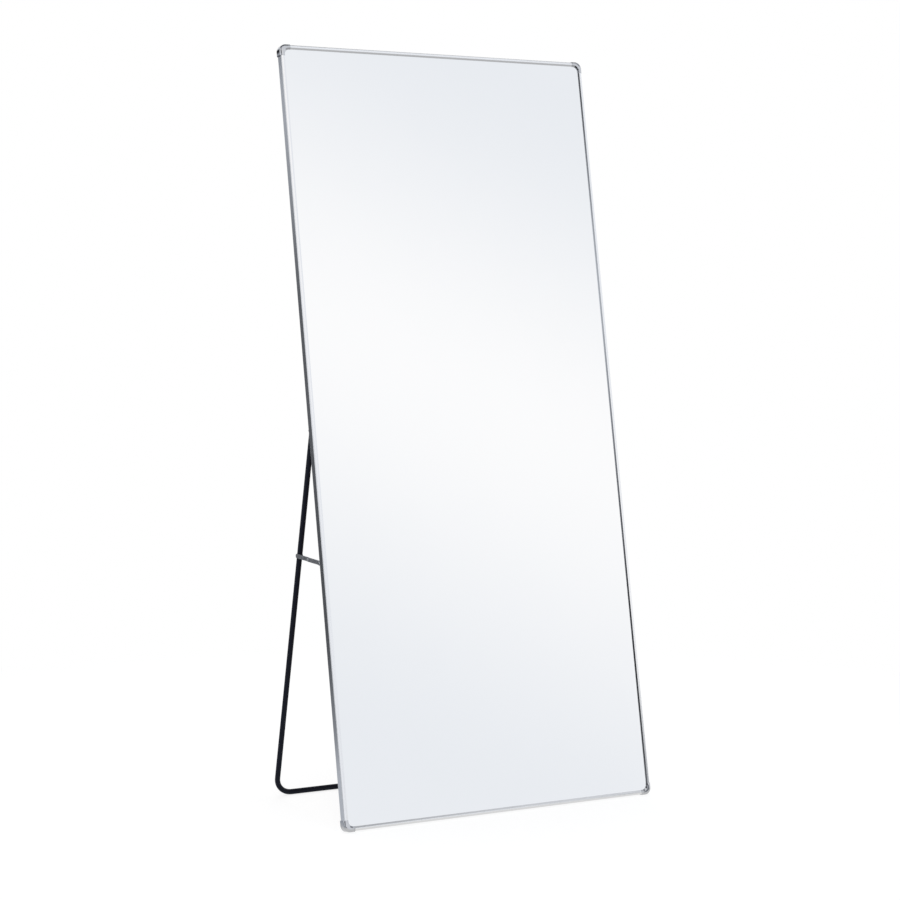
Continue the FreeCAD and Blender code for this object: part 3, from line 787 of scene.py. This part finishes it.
corner = [elbow(), tongue(False), tongue(True), cap_web()]
for row in ("top", "bottom"):
    for word, side in SIDES.items():
        def at_corner(p, side=side, row=row):
            up = p[:, 2] if row == "bottom" else HEIGHT - p[:, 2]
            return joined(side * (p[:, 0] - HALF), p[:, 1], up)
        piece("bright_cap_%s_%s" % (row, word), [moved(s, at_corner) for s in corner], chrome,
              "mirror", ["corner_cap_%s_%s" % (row, word)],
              floor_cut=row == "bottom")

# %% [markdown]
# ## Mirror glass
#
# The glass is a 4 mm sheet with its edges ground, silvered behind. In a studio only its reflection
# shows, so it is one closed blank with a finish that mirrors, rather than a clear sheet over a
# metal one, which would cost many light bounces for no visible gain.

# %% The pane
GLASS_EDGE = 0.6
inner, top = HALF - GLASS_INSET, HEIGHT - GLASS_INSET
pane_outline = eased(box(-inner, GLASS_INSET, inner, top), TURN - GLASS_INSET, steps=12, hold=2.0)
piece("mirror_pane", [along_y(blank(pane_outline, GLASS, GLASS_EDGE), 0, LIP, 0)], silver,
      "mirror", ["mirror_glass"])

# %% [markdown]
# ## Tube stand
#
# The stand is one steel tube with two bends. A bevelled curve gives a tube quickly, but not one
# with a wall. Here a ring is carried along the centre line, out over the outside of the tube and
# back along its inside, so the tube is a closed form with a real thickness at its two cut tops.

# %% The tube's centre line and its wall
def stand_line():
    """Centre line in the stand's own plane, as (x, distance from the hinge): a leg, a quarter turn
    of radius BEND_R, the run, a quarter turn and the other leg. With it, the sideways normals."""
    leg = np.linspace(-PAST_HINGE, LEG_LENGTH - BEND_R, 12)
    turn = quarter(20)[1:-1]
    run = np.linspace(BEND_R - LEG_X, LEG_X - BEND_R, 12)
    left = joined(np.full_like(leg, -LEG_X), leg)
    bend = joined(BEND_R - LEG_X - BEND_R * np.cos(turn),
                  LEG_LENGTH - BEND_R + BEND_R * np.sin(turn))
    across = joined(run, np.full_like(run, LEG_LENGTH))
    half = chained(left, bend)
    line = chained(half, across, half[::-1] * np.array([-1.0, 1.0]))
    angle = chained(np.zeros(len(leg)), turn)
    normal = joined(-np.cos(angle), np.sin(angle))
    middle = np.broadcast_to(np.array([0.0, 1.0]), across.shape)
    return line, chained(normal, middle, normal[::-1] * np.array([-1.0, 1.0]))


def stand_point(x, reach, off):
    """Upright point of the stand: reach along the leg from the hinge, and off its plane."""
    y = HINGE_Y + LEG_DIR[0] * reach - LEG_DIR[1] * off
    z = HINGE_Z + LEG_DIR[1] * reach + LEG_DIR[0] * off
    return joined(x, y, z)


def stand_shell(count=44):
    """A ring round each point of the line: radius * cos a along its normal and radius * sin a off
    the plane. The line is followed twice, at the outer radius and back at the inner one. The
    outer edge of each cut end is broken by ease."""
    line, normal = stand_line()
    ease = 0.25
    outer = np.full(len(line), TUBE_R)
    inner = outer - TUBE_WALL
    first = np.array([TUBE_R - ease])
    centre = chained(line[:1], line[:1], line, line[-1:], line[-1:], line[::-1])
    normals = chained(normal[:1], normal[:1], normal, normal[-1:], normal[-1:], normal[::-1])
    centre[2, 1] += ease
    centre[len(line) + 1, 1] += ease
    inside = first - TUBE_WALL / 3
    radius = chained(inside, first, outer, first, inside, inner)
    angle = turns(count)
    side = radius[:, None] * np.cos(angle)
    x = centre[:, :1] + normals[:, :1] * side
    reach = centre[:, 1:] + normals[:, 1:] * side
    off = radius[:, None] * np.sin(angle)
    path = lengths(centre, closed=True)
    around = turns(count, 1) * TUBE_R
    return skin(stand_point(x, reach, off), finish_grid(path, around), wrap_u=True, wrap_v=True)


piece("tube_stand", [stand_shell()], black_coat, "stand", ["stand_tube"])

# %% [markdown]
# ## Plugs in the tube's tops
#
# A moulded plug closes each cut end. It is a spun form: a stem inside the tube and a low crowned
# head. A short taper under the head shows how it was pushed in.

# %% The two plugs
PLUG_R = TUBE_R - TUBE_WALL - 0.1
PLUG_LONG = 14.0
PLUG_TAPER = 1.0
SEAM = 0.15
CROWN = 0.65
crown = np.linspace(0, 1, 9)[1:-1] * np.pi / 2
plug_r = chained([0.3, PLUG_R - 0.8, PLUG_R, PLUG_R, TUBE_R - SEAM, TUBE_R],
                 TUBE_R * np.cos(crown), [0.3])
plug_h = chained([-PLUG_LONG, -PLUG_LONG, PLUG_TAPER - PLUG_LONG, 0.0, 0.0, SEAM],
                 SEAM + CROWN * np.sin(crown), [SEAM + CROWN])
for word, side in SIDES.items():
    def in_leg(p, side=side):
        return stand_point(side * (p[:, 0] - LEG_X), -PAST_HINGE - p[:, 2], p[:, 1])
    piece("tube_end_plug_" + word, [moved(spun(plug_r, plug_h, 40), in_leg)], black_plastic,
          "stand", ["tube_plug_" + word])

# %% [markdown]
# ## Screws, bolts, nuts and rivets
#
# Small fasteners are what the eye checks on the back. Each is a profile spun round its axis. The
# cross recess is pressed into the head by a mask on the same grid, the nut's six flats and its
# chamfer come from the distance to a hexagon's side, and the bolt's thread is a ripple that climbs
# one pitch a turn.

# %% Head, recess, thread and hexagon
RECESS_LONG = 3.8
RECESS_WIDE = 1.0
RECESS_DEEP = 1.0
NUT_HOLE = 2.6
CHAMFER_FROM = 0.97


def cross_recess(turned):
    """Presses a cross into the top of a head. The mask of each arm is 1 inside it and falls to 0
    at its edge, over 0.25 mm at its ends and 0.12 mm at its sides. The larger mask counts."""
    def press(r, h, angle):
        x = r * np.cos(angle + turned)
        y = r * np.sin(angle + turned)

        def arm(a, b):
            along = np.clip((RECESS_LONG / 2 - np.abs(a)) / 0.25, 0, 1)
            across = np.clip((RECESS_WIDE / 2 - np.abs(b)) / 0.12, 0, 1)
            return along * across
        depth = RECESS_DEEP * np.maximum(arm(x, y), arm(y, x)) * (h > 0.4)
        return r, h - depth
    return press


def pan_head(radius, height, shank_r, shank, turned, skirt=0.45):
    """Profile of a pan head on its shank: shank end, shank, the flat underside, a short upright
    skirt and a crown that falls off with the third power of the radius. The top is ringed closely
    for the recess."""
    ring = chained(np.linspace(1, 0.62, 9), np.linspace(0.6, 0.02, 22))
    crown = height * (skirt + (1 - skirt) * np.sqrt(1 - (ring * 0.985) ** 3))
    r = chained([0.05, shank_r - 0.4, shank_r, shank_r, radius - 0.12, radius], ring * radius)
    h = chained([-shank, -shank, -shank + 0.4, 0.0, 0.0, 0.12], crown)
    return spun(r, h, 64, cross_recess(turned))


def threaded(pitch, depth, start):
    """Turns a shank into a thread: radius - depth * (half a wave of height / pitch - turns)."""
    def cut(r, h, angle):
        wave = 0.5 + 0.5 * np.cos(2 * np.pi * h / pitch - angle)
        return r - depth * wave * (h > start) * (r > 1.0), h
    return cut


def hexagon(across):
    """Radius of a hexagon's side in a direction, as half its width over the cosine of the angle to
    the nearest flat, and a 30 degree chamfer beyond the circle that the flats touch."""
    def shape(r, h, angle):
        side = (across / 2) / np.cos((angle + np.pi / 6) % (np.pi / 3) - np.pi / 6)
        share = np.clip((r - NUT_HOLE) / (across / 2 - NUT_HOLE), 0, 1)
        wide = np.where(share > 0, r + share * (side - across / 2), r)
        drop = np.clip(wide - across / 2 * CHAMFER_FROM, 0, None) * np.tan(np.radians(30))
        top = h.max()
        return wide, np.clip(h, drop, top - drop)
    return shape


# %% Screws in the rails' backs
# Pairs of screws are HINGE_PAIR, STAY_PAIR and HANGER_PAIR to each side of their plate's middle.
SCREW_IN = 9.0
CORNER_ALONG = ARM + 15.0
HINGE_PAIR = 18.0
STAY_PAIR = 11.0
HANGER_PAIR = 12.0
TURN_ON = 2.4
HINGE_PLATE = 2.0
HANGER_PLATE = 2.0
HANGER_X = 250.0
near, up = HALF - SCREW_IN, HEIGHT - SCREW_IN


def screw_row(places, base):
    """A screw at each place of both sides, each turned on from the one before."""
    def screw(x, z, number):
        head = pan_head(radius=3.5, height=1.7, shank_r=1.75, shank=5.5, turned=number * TURN_ON)
        return along_y(head, x, base, z)
    return [screw(side * x, z, k + 7 * (side > 0))
            for side in (-1, 1) for k, (x, z) in enumerate(places)]


screw_sets = {
    "corner": ([(near, CORNER_ALONG), (HALF - CORNER_ALONG, SCREW_IN),
                (near, HEIGHT - CORNER_ALONG), (HALF - CORNER_ALONG, up)], DEPTH),
    "hinge": ([(near, HINGE_Z - HINGE_PAIR), (near, HINGE_Z + HINGE_PAIR)], DEPTH + HINGE_PLATE),
    "stay": ([(near, STAY_Z - STAY_PAIR), (near, STAY_Z + STAY_PAIR)], DEPTH + STAY_PLATE),
    "hanger": ([(HANGER_X - HANGER_PAIR, up), (HANGER_X + HANGER_PAIR, up)],
               DEPTH + HANGER_PLATE),
}
for word, (places, base) in screw_sets.items():
    piece("pan_screws_" + word, screw_row(places, base), zinc, "mirror",
          [word + "_screws"])

# %% [markdown]
# ## Bent brackets
#
# A bracket is cut flat from sheet steel and bent once. A box with a second box on it would show a
# knife edge where the real one has a round bend, so the flat blank is made first, as a grid
# between its two mirrored halves, and then every point is carried round the bend.

# %% A blank with one bend
PLATE_EDGE = 0.3


def bent_blank(half, thickness, bend):
    """Closed sheet from half an outline: its rim, and two faces that are grids between each point
    of the half and its mirror point. bend places its points (a, b, height)."""
    loop = chained(half, half[-2:0:-1] * np.array([1.0, -1.0]))
    rings = rim_rings(loop, thickness, PLATE_EDGE)
    rings[:, [0, len(half) - 1], 1] = 0.0
    shells = [skin(rings, laid_flat(rings), wrap_v=True)]
    share = np.array([-1.0, -0.97, -0.65, -0.3, 0.0, 0.3, 0.65, 0.97, 1.0])
    for row in rings[[0, -1], :len(half)]:
        grid = np.repeat(row[:, None], len(share), axis=1)
        grid[..., 1] *= share
        shells.append(skin(grid, grid[..., :2] * MM))
    return [moved(s, bend) for s in shells]


def bracket(axis_y, axis_z, start, way, thickness, width, plate_half, ear_half, inner_r):
    """Plate flat on the rail's back from start, going way (1 in, -1 out), then a round bend and an
    ear round the axis. In the bend, angle = length past its start / middle radius."""
    flat = width - inner_r - thickness
    middle_r = inner_r + thickness / 2
    bend_len = middle_r * np.pi / 2
    rise = axis_y + ear_half - DEPTH - thickness - inner_r
    tip = flat + bend_len + rise
    notch = flat - 0.4
    ear_r = ear_half - 0.02
    outline = eased(
        [(0, -plate_half), (notch, -plate_half), (notch, -ear_half), (tip, -ear_half),
         (tip, ear_half), (notch, ear_half), (notch, plate_half), (0, plate_half)],
        [3.0, 2.5, 0.8, ear_r, ear_r, 0.8, 2.5, 3.0], steps=10)

    def bend(p):
        a, b, n = p[:, 0], p[:, 1], p[:, 2] - thickness / 2
        turn = np.clip((a - flat) / middle_r, 0, np.pi / 2)
        past = np.clip(a - flat - bend_len, 0, None)
        radius = middle_r - n
        out = np.minimum(a, flat) + radius * np.sin(turn)
        back = thickness / 2 + middle_r - radius * np.cos(turn) + past
        return joined(start - HALF + way * out, DEPTH + back, b + axis_z)
    return bent_blank(bracket_half(outline), thickness, bend)


def bracket_half(outline):
    """Upper half of the bracket's outline, in order from its foot to its tip."""
    upper = outline[outline[:, 1] > 0]
    upper = upper[::-1] if upper[0, 0] > upper[-1, 0] else upper
    path = np.concatenate([[[outline[:, 0].min(), 0.0]], upper, [[outline[:, 0].max(), 0.0]]])
    along = lengths(path, closed=False)
    dense = np.unique(chained(along, np.arange(0, along[-1], 0.7)).round(4))
    return sampled(path, along, dense)


hinge_plate = bracket(HINGE_Y, HINGE_Z, start=3.0, way=1, thickness=HINGE_PLATE, width=20.55,
                      plate_half=26.0, ear_half=9.0, inner_r=1.0)
stay_plate = bracket(STAY_Y, STAY_Z, start=20.95, way=-1, thickness=STAY_PLATE, width=18.5,
                     plate_half=17.0, ear_half=5.6, inner_r=0.9)
pair("hinge_bracket_bent_", hinge_plate, black_coat, "mirror", "hinge_bracket_")
pair("stay_bracket_bent_", stay_plate, zinc, "mirror", "stay_bracket_")

# %% Hinge bolts, nuts and washers
LEG_OUT = LEG_INSET - TUBE_R
LEG_IN = LEG_INSET + TUBE_R
WASHER_T = 1.0
BOLT_R = 2.5
BOLT_HEAD = LEG_OUT - GAP
EAR_IN = LEG_IN + GAP + WASHER_T
NUT_IN = EAR_IN + HINGE_PLATE
NUT_T = 4.0
NUT_WIDE = 8.0
PAST_NUT = 1.2
THREAD_LONG = 5.4
CLIMBS = 90
BOLT_LONG = NUT_IN + NUT_T + PAST_NUT - BOLT_HEAD


def hinge_bolt_shell():
    """The head points out of the frame, so the bolt is drawn head up and turned over."""
    head = pan_head(radius=3.7, height=1.6, shank_r=BOLT_R, shank=0.5, turned=0.6, skirt=0.4)
    climb = np.linspace(0.2, BOLT_LONG - 0.5, CLIMBS)
    shank_h = chained([0.0], climb, [BOLT_LONG, BOLT_LONG])
    shank_r = chained(np.full(CLIMBS + 1, BOLT_R), [BOLT_R - 0.3, 0.05])
    thread = threaded(pitch=0.8, depth=0.22, start=BOLT_LONG - THREAD_LONG)
    shank = spun(shank_r, shank_h, 40, thread)
    turned = moved(head, lambda p: p * np.array([1.0, -1.0, -1.0]))
    return [along_x(s, BOLT_HEAD, HINGE_Y, HINGE_Z) for s in (turned, shank)]


washer_section = eased(box(2.6, 0.0, 6.0, WASHER_T), 0.2, steps=3, hold=0.1)
nut_half = [(2.55, 0.2), (2.75, 0.0), (3.2, 0.0), (3.7, 0.0), (3.88, 0.0), (4.0, 0.0), (4.0, 0.4)]
nut_section = np.array([(2.55, NUT_T - 0.2)] + nut_half
                       + [(r, NUT_T - h) for r, h in nut_half[:0:-1]])
washer = along_x(spun(*washer_section.T, closed=True), EAR_IN - WASHER_T, HINGE_Y, HINGE_Z)
nut = spun(*nut_section.T, 72, hexagon(NUT_WIDE), closed=True)
nut = along_x(nut, NUT_IN, HINGE_Y, HINGE_Z)
pair("hinge_pivot_bolt_", hinge_bolt_shell(), black_coat, "mirror", "hinge_bolt_")
pair("hinge_pivot_nut_", [nut], black_coat, "mirror", "hinge_nut_")
pair("nylon_washer_", [washer], nylon, "mirror", "hinge_washer_")

# %% [markdown]
# ## Folding stays
#
# Each stay is two flat bars joined by a rivet at its knee, one bar on the rail's bracket and one
# on the leg. The bars ride on bodies of their own, so they fold with the stand. A bar is a blank
# of a round-ended outline, and a rivet's head is a low dome.

# %% Bars and rivets
REAR_LINK = LEG_OUT - GAP - LINK_T
FRONT_LINK = REAR_LINK - GAP - LINK_T
STAY_EAR = FRONT_LINK - GAP - STAY_PLATE


def bar_shell(start, end, inset):
    """Flat bar with round ends, drawn along its own length and then laid from start to end."""
    run = end - start
    long = np.hypot(*run)
    half_w = LINK_W / 2
    corners = box(-half_w, -half_w, long + half_w, half_w)
    outline = eased(corners, half_w - 0.01, steps=16, hold=0.5)
    way = run / long

    def lay(p):
        y = start[0] + way[0] * p[:, 0] - way[1] * p[:, 1]
        z = start[1] + way[1] * p[:, 0] + way[0] * p[:, 1]
        return joined(inset - HALF + p[:, 2], y, z)
    return moved(blank(outline, LINK_T, PLATE_EDGE), lay)


def rivet_shell(spot, inset, shank, head):
    """Shank from inset inwards, and a domed head of height head at its outer end, or at its inner
    end where shank is negative. The dome's height goes with the root of 1 - (radius share)^2.6.
    The other end stands PEENED proud of the bar."""
    share = np.linspace(1, 0.05, 12)
    dome = head * (0.25 + 0.75 * np.sqrt(1 - (share * 0.98) ** 2.6))
    long = abs(shank) + PEENED
    r = chained([0.05, RIVET_R - 0.2, RIVET_R, RIVET_R, RIVET_HEAD_R], share * RIVET_HEAD_R)
    h = chained([-long, -long, -long + 0.2, 0.0, 0.0], dome)
    flip = 1.0 if shank < 0 else -1.0
    shell = moved(spun(r, h, 48), lambda p: p * np.array([1.0, flip, flip]))
    return along_x(shell, inset, *spot)


def pin_shell(spot, inset, long):
    """Plain pin with both ends eased and slightly dished, as a peened end is, and a hair proud."""
    r = np.array([0.05, 0.9, 1.5, RIVET_R - 0.25, RIVET_R])
    h = np.array([0.12, 0.1, 0.0, 0.0, 0.2])
    r, h = chained(r, r[::-1]), chained(h, long + 2 * PEENED - h[::-1])
    return along_x(spun(r, h, 40), inset - PEENED, *spot)


rail_reach = FRONT_LINK + LINK_T - STAY_EAR
stay_pieces = [
    ("bar_front_", bar_shell(STAY_RAIL, KNEE, FRONT_LINK), "stay_front_", "front_link_"),
    ("bar_rear_", bar_shell(KNEE, STAY_LEG, REAR_LINK), "stay_rear_", "rear_link_"),
    ("rivet_rail_", rivet_shell(STAY_RAIL, STAY_EAR, rail_reach, RIVET_HEAD), "mirror",
     "rail_rivet_"),
    ("rivet_leg_", rivet_shell(STAY_LEG, LEG_IN, REAR_LINK - LEG_IN, RIVET_HEAD), "stand",
     "leg_rivet_"),
    ("rivet_knee_", rivet_shell(KNEE, FRONT_LINK, LINK_T, RIVET_HEAD), "stay_front_",
     "knee_rivet_"),
    ("pin_knee_", pin_shell(KNEE, REAR_LINK, LINK_T), "stay_rear_", "knee_shank_"),
]
for name, shell, body, node in stay_pieces:
    pair("stay_" + name, [shell], zinc, body, "stay_" + node)

# %% [markdown]
# ## Wall hangers
#
# A keyhole plate is a flat blank with a hole in it. A cutter would leave long thin faces round the
# slot, so the plate is a ring: every direction from the keyhole's mouth meets the slot once and
# the plate's outline once, and the sheet is drawn between those two points.

# %% Keyhole plates
MOUTH_R = 5.0
SLOT_R = 2.5
SLOT_UP = 8.5
MOUTH_DOWN = 35.0


def direction(outline):
    return np.arctan2(outline[:, 1], outline[:, 0]) % (2 * np.pi)


def ray_outline(outline, angle):
    """Distance from zero to the outline in each direction, between the outline's own points."""
    turn = direction(outline)
    order = np.argsort(turn)
    turn, reach = turn[order], np.hypot(*outline.T)[order]
    turn = chained(turn[-1:] - 2 * np.pi, turn, turn[:1] + 2 * np.pi)
    return np.interp(angle, turn, chained(reach[-1:], reach, reach[:1]))


def dense_ring(outline, gap=0.15):
    """The same outline with points no more than gap apart."""
    closed = chained(outline, outline[:1])
    along = lengths(closed, closed=False)
    even = np.unique(chained(along, np.arange(0, along[-1], gap)))[:-1]
    return sampled(closed, along, even)


def hanger_shell():
    """The keyhole is the slot's round top and the mouth, less the part of it under the slot."""
    half_w, low, high = 18.0, -12.0, 32.0
    sheet = eased(box(-half_w, low, half_w, high), 3.0, steps=8)
    shut = np.arcsin(SLOT_R / MOUTH_R)
    keyhole = chained(arc(SLOT_R, 0, np.pi, 17) + np.array([0.0, SLOT_UP]),
                      arc(MOUTH_R, np.pi / 2 + shut, 2.5 * np.pi - shut, 49))
    even = np.linspace(0, 2 * np.pi, 160, endpoint=False)
    angle = chained(even, direction(keyhole), direction(sheet))
    angle = np.unique(angle.round(5))
    inner_r = ray_outline(dense_ring(keyhole), angle)
    outer_r = ray_outline(dense_ring(sheet), angle)
    inset, height = rim(HANGER_PLATE, 0.25)
    rows_r = chained(outer_r - inset[:, None], inner_r + inset[::-1, None])
    rows_h = chained(height, height[::-1])
    points = joined(rows_r * np.cos(angle), rows_r * np.sin(angle),
                    np.broadcast_to(rows_h[:, None], rows_r.shape))
    return skin(points, laid_flat(chained(points, points[:1])), wrap_u=True, wrap_v=True)


plate = along_y(hanger_shell(), -HANGER_X, DEPTH, HEIGHT - MOUTH_DOWN)
pair("keyhole_hanger_", [plate], zinc, "mirror", "hanger_plate_")

# %% [markdown]
# ## CAD solids that stay
#
# The foam, the backing board and the glazing strips are plain sheets whose CAD shape is already
# right, so they keep it and only get a finish.

# %% Finishes for the solids that stay
kept = {"backing_foam": foam, "backing_board": board, "glazing_strip_left": strip,
        "glazing_strip_right": strip, "glazing_strip_top": strip, "glazing_strip_bottom": strip}
for node, material in kept.items():
    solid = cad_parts[node].data
    solid.materials.clear()
    solid.materials.append(material)
print("pieces made:", len(made), "CAD solids kept:", len(kept))

# %% [markdown]
# ## Floor and light
#
# The object stands on a plain white sweep. A white background could be forced by strong lamps, but
# that would also burn out the object. Instead the floor and the world look white only to the
# camera and through glass, and the lamps stay at a plain level. Polished metal sees a made-up
# room: soft panels, dark gaps and a painted glow on the floor, darker further from the object,
# which draw the light and dark lines along the frame. The pane is a perfect mirror, so it would
# show the panels' edges. It sees a plainer room instead, with one soft bright band over pale grey.

# %% Floor
FLOOR_R = 2.4
FLOOR_SIDES = 96
WHITE = (1.0, 1.0, 1.0, 1)
MIRRORED_FLOOR = (0.76, 0.785, 0.835, 1)


def grey(value):
    return (value, value, value, 1)


BLACK = grey(0.0)


def floor_disc(rings=24):
    """Points at FLOOR_R * share, round full turns: a flat disc."""
    share = np.linspace(0.001, 1, rings)[:, None]
    angle = turns(FLOOR_SIDES)
    return joined(FLOOR_R * share * np.cos(angle), FLOOR_R * share * np.sin(angle),
                  np.zeros((rings, FLOOR_SIDES)))


def bare_tree(owner):
    owner.use_nodes = True
    owner.node_tree.nodes.clear()
    return owner.node_tree


def looks(tree):
    """Four masks, each 1 for its own kind of ray: straight from the camera or through glass, from
    a polished surface, either of these, and from a perfect mirror."""
    ray = place(tree, "ShaderNodeLightPath")
    through = ray.outputs["Is Transmission Ray"]
    straight = maths(tree, "MAXIMUM", ray.outputs["Is Camera Ray"], through)
    polished = ray.outputs["Is Glossy Ray"]
    mirror = times(tree, polished, ray.outputs["Is Singular Ray"])
    return straight, polished, maths(tree, "MAXIMUM", straight, polished), mirror


COOL = (0.93, 0.98, 1.08)


def ramp(tree, value, low, high, stops):
    """Cool grey that changes with a value: straight lines between stops of (value, grey)."""
    node = place(tree, "ShaderNodeValToRGB", {0: between(tree, value, low, high)})
    rows = node.color_ramp.elements
    while len(rows) < len(stops):
        rows.new(0.5)
    for row, (at, tone) in zip(rows, sorted(stops)):
        row.position = (at - low) / (high - low)
        row.color = (*(tone * part for part in COOL), 1.0)
    return node.outputs[0]


disc = floor_disc()
points, faces, _, _ = skin(disc, laid_flat(disc), wrap_v=True)
mesh = bpy.data.meshes.new("floor")
mesh.from_pydata(points, [], faces.tolist() + [list(range(FLOOR_SIDES))])
floor = linked("floor", mesh)
pale = bpy.data.materials.new("pale_floor")
tree = bare_tree(pale)
straight, polished, either, mirror = looks(tree)
spot = place(tree, "ShaderNodeTexCoord").outputs["Object"]
far = place(tree, "ShaderNodeVectorMath", {0: spot}, operation="LENGTH").outputs["Value"]
# What polished metal sees of the floor is a painted glow, not lit floor: darker further from the
# object, brighter in a patch in front of it, and one plain pale grey for a perfect mirror.
painted_floor_glow = ramp(tree, far, 0.0, FLOOR_R, [
    (0.0, 0.46), (0.5, 0.47), (0.73, 0.46), (1.17, 0.25), (1.94, 0.14), (2.4, 0.1)])
ways = place(tree, "ShaderNodeSeparateXYZ", {0: spot}).outputs
in_front = times(tree, smooth(tree, ways[1], -0.02, -0.12), smooth(tree, ways[0], -0.46, -0.40))
painted_floor_glow = blended(tree, in_front, painted_floor_glow, grey(0.73))
painted_floor_glow = blended(tree, mirror, painted_floor_glow, MIRRORED_FLOOR)
rim_share = smooth(tree, far, 1.3, 2.3)
white = blended(tree, rim_share, grey(0.76), WHITE)
cover = blended(tree, rim_share, grey(0.32), BLACK)
matt_tone = blended(tree, polished, blended(tree, straight, grey(0.8), cover), BLACK)
matt = place(tree, "ShaderNodeBsdfDiffuse", {"Color": matt_tone})
glow = place(tree, "ShaderNodeEmission", {
    "Color": blended(tree, polished, white, painted_floor_glow), "Strength": either})
both = place(tree, "ShaderNodeAddShader", {0: matt.outputs[0], 1: glow.outputs[0]})
place(tree, "ShaderNodeOutputMaterial", {0: both.outputs[0]})
mesh.materials.append(pale)

# %% The room that polished metal reflects
world = bpy.data.worlds.new("studio")
bpy.context.scene.world = world
tree = bare_tree(world)
straight, polished, either, mirror = looks(tree)
way = place(tree, "ShaderNodeTexCoord").outputs["Generated"]
parts = place(tree, "ShaderNodeSeparateXYZ", {0: way})
behind = times(tree, parts.outputs[1], -1.0)
azimuth = maths(tree, "DEGREES", maths(tree, "ARCTAN2", parts.outputs[0], behind))
elevation = maths(tree, "DEGREES", maths(tree, "ARCSINE", parts.outputs[2]))


def upright_strip(middle, half, soft):
    """1 where the azimuth is within half degrees of middle, fading to 0 over soft degrees. Azimuth
    runs from the front, -Y, towards +X. The ping-pong by 180 gives the shorter way round."""
    off = maths(tree, "PINGPONG", maths(tree, "SUBTRACT", azimuth, middle), 180.0)
    return smooth(tree, off, half, half + soft, 1.0, 0.0)


def panel(middle, half, low, high, soft=3.0):
    """An upright strip that also ends below low and above high, in degrees of elevation."""
    over = smooth(tree, elevation, low - soft, low)
    under = smooth(tree, elevation, high, high + soft, 1.0, 0.0)
    return times(tree, upright_strip(middle, half, 4), times(tree, over, under))


LOWEST, HIGHEST = -40.0, 60.0


def lit(strip, stops):
    """The room with a strip of it toned by elevation: each stop is (degrees, grey)."""
    return blended(tree, strip, room, ramp(tree, elevation, LOWEST, HIGHEST, stops))


BAND_AXIS = (0.377, 0.468, 0.800)
WALLS = (0.842, 0.862, 0.905, 1)
BRIGHT_BAND = (1.0, 0.995, 1.006, 1)
LOW_STRIP = (0.47, 0.475, 0.485, 1)
CEILING = (0.12, 0.125, 0.135, 1)
PLAIN_LIGHT = (0.62, 0.63, 0.65, 1)
dot = place(tree, "ShaderNodeVectorMath", {0: way, 1: BAND_AXIS}, operation="DOT_PRODUCT")
below_band = smooth(tree, dot.outputs["Value"], -0.15, 0.02)
above_band = smooth(tree, dot.outputs["Value"], 0.02, 0.165, 1.0, 0.0)
band = maths(tree, "MINIMUM", below_band, above_band)
room = blended(tree, band, WALLS, BRIGHT_BAND)
in_mirror = blended(tree, smooth(tree, elevation, 4.0, -5.0), room, MIRRORED_FLOOR)
sweep = smooth(tree, elevation, 2.0, -5.0)
room = blended(tree, sweep, room, MIRRORED_FLOOR)
low_strip = times(tree, sweep, upright_strip(30, 16, 12))
room = blended(tree, low_strip, room, LOW_STRIP)
room = blended(tree, smooth(tree, elevation, 39.5, 55.5), room, CEILING)
# Each panel has its middle, half its width, its lower and its upper edge in degrees, and its grey.
panels = [(22, 12, 44, 70, 0.07), (57, 12, 29, 40, 0.3), (40, 6, -3, 4.5, 0.25),
          (5, 9, -30, 0, 0.03)]
for middle, half, low, high, tone in panels:
    tinted = (*(tone * part for part in COOL), 1)
    room = blended(tree, panel(middle, half, low, high), room, tinted)
by_camera = [
    (-30, 0.16), (-20, 0.05), (0, 0.03), (2.5, 0.14), (4.0, 0.4), (5.4, 0.34), (6.2, 0.04),
    (9.5, 0.0), (11.5, 0.0), (13, 0.05), (15.4, 0.14), (18, 0.4), (20.3, 0.62), (22, 0.35),
    (24, 0.08), (26, 0.02), (34, 0.1), (45, 0.3)]
back_left = [
    (-12, 0.12), (-7, 0.07), (-2.5, 0.11), (0, 0.09), (1.6, 0.16), (3, 0.28), (5.2, 0.44),
    (6.5, 0.46), (6.9, 0.02), (13, 0.02), (17, 0.35), (25, 0.1), (60, 0.1)]
back_right = [(-40, 0.1), (12, 0.12), (30, 0.6)]
room = lit(upright_strip(-15, 12, 6), by_camera)
room = lit(upright_strip(-156, 11, 12), back_left)
room = lit(upright_strip(150, 10, 12), back_right)
tone = blended(tree, polished, PLAIN_LIGHT, room)
tone = blended(tree, mirror, tone, in_mirror)
tone = blended(tree, straight, tone, WHITE)
sky = place(tree, "ShaderNodeBackground", {0: tone, 1: 1.0})
place(tree, "ShaderNodeOutputWorld", {0: sky.outputs[0]})

# %% Lamps
# Each lamp has a place, a size in metres and a power in watts, and it points at AIM.
AIM = Vector((0.0, 0.0, 0.8))
lamps = {
    "key": ((-2.6, -3.2, 3.4), 2.4, 55.0),
    "fill": ((3.2, -2.4, 2.6), 2.8, 30.0),
    "back": ((0.8, 3.6, 3.2), 2.6, 40.0),
}
for name, (spot, size, power) in lamps.items():
    data = bpy.data.lights.new(name, "AREA")
    data.size = size
    data.energy = power
    lamp = linked(name, data)
    lamp.location = spot
    lamp.rotation_euler = (AIM - lamp.location).to_track_quat("-Z", "Y").to_euler()
    lamp.visible_glossy = False

# %% [markdown]
# ## Camera
#
# The photograph's lines of the frame were matched to the drawing, which gives where the camera
# stood, how it was turned and how long its lens is. It looks a little down and from the left.

# %% Camera
eye = bpy.data.cameras.new("eye")
eye.lens = 86.18
eye.sensor_width = 36.0
eye.clip_end = 100.0
camera = linked("eye", eye)
camera.location = (-2.445, -4.4852, 1.173)
camera.rotation_euler = (np.radians(90 - 3.825), 0.0, np.radians(-28.313))
bpy.context.scene.camera = camera
bpy.context.scene.view_settings.view_transform = "Standard"
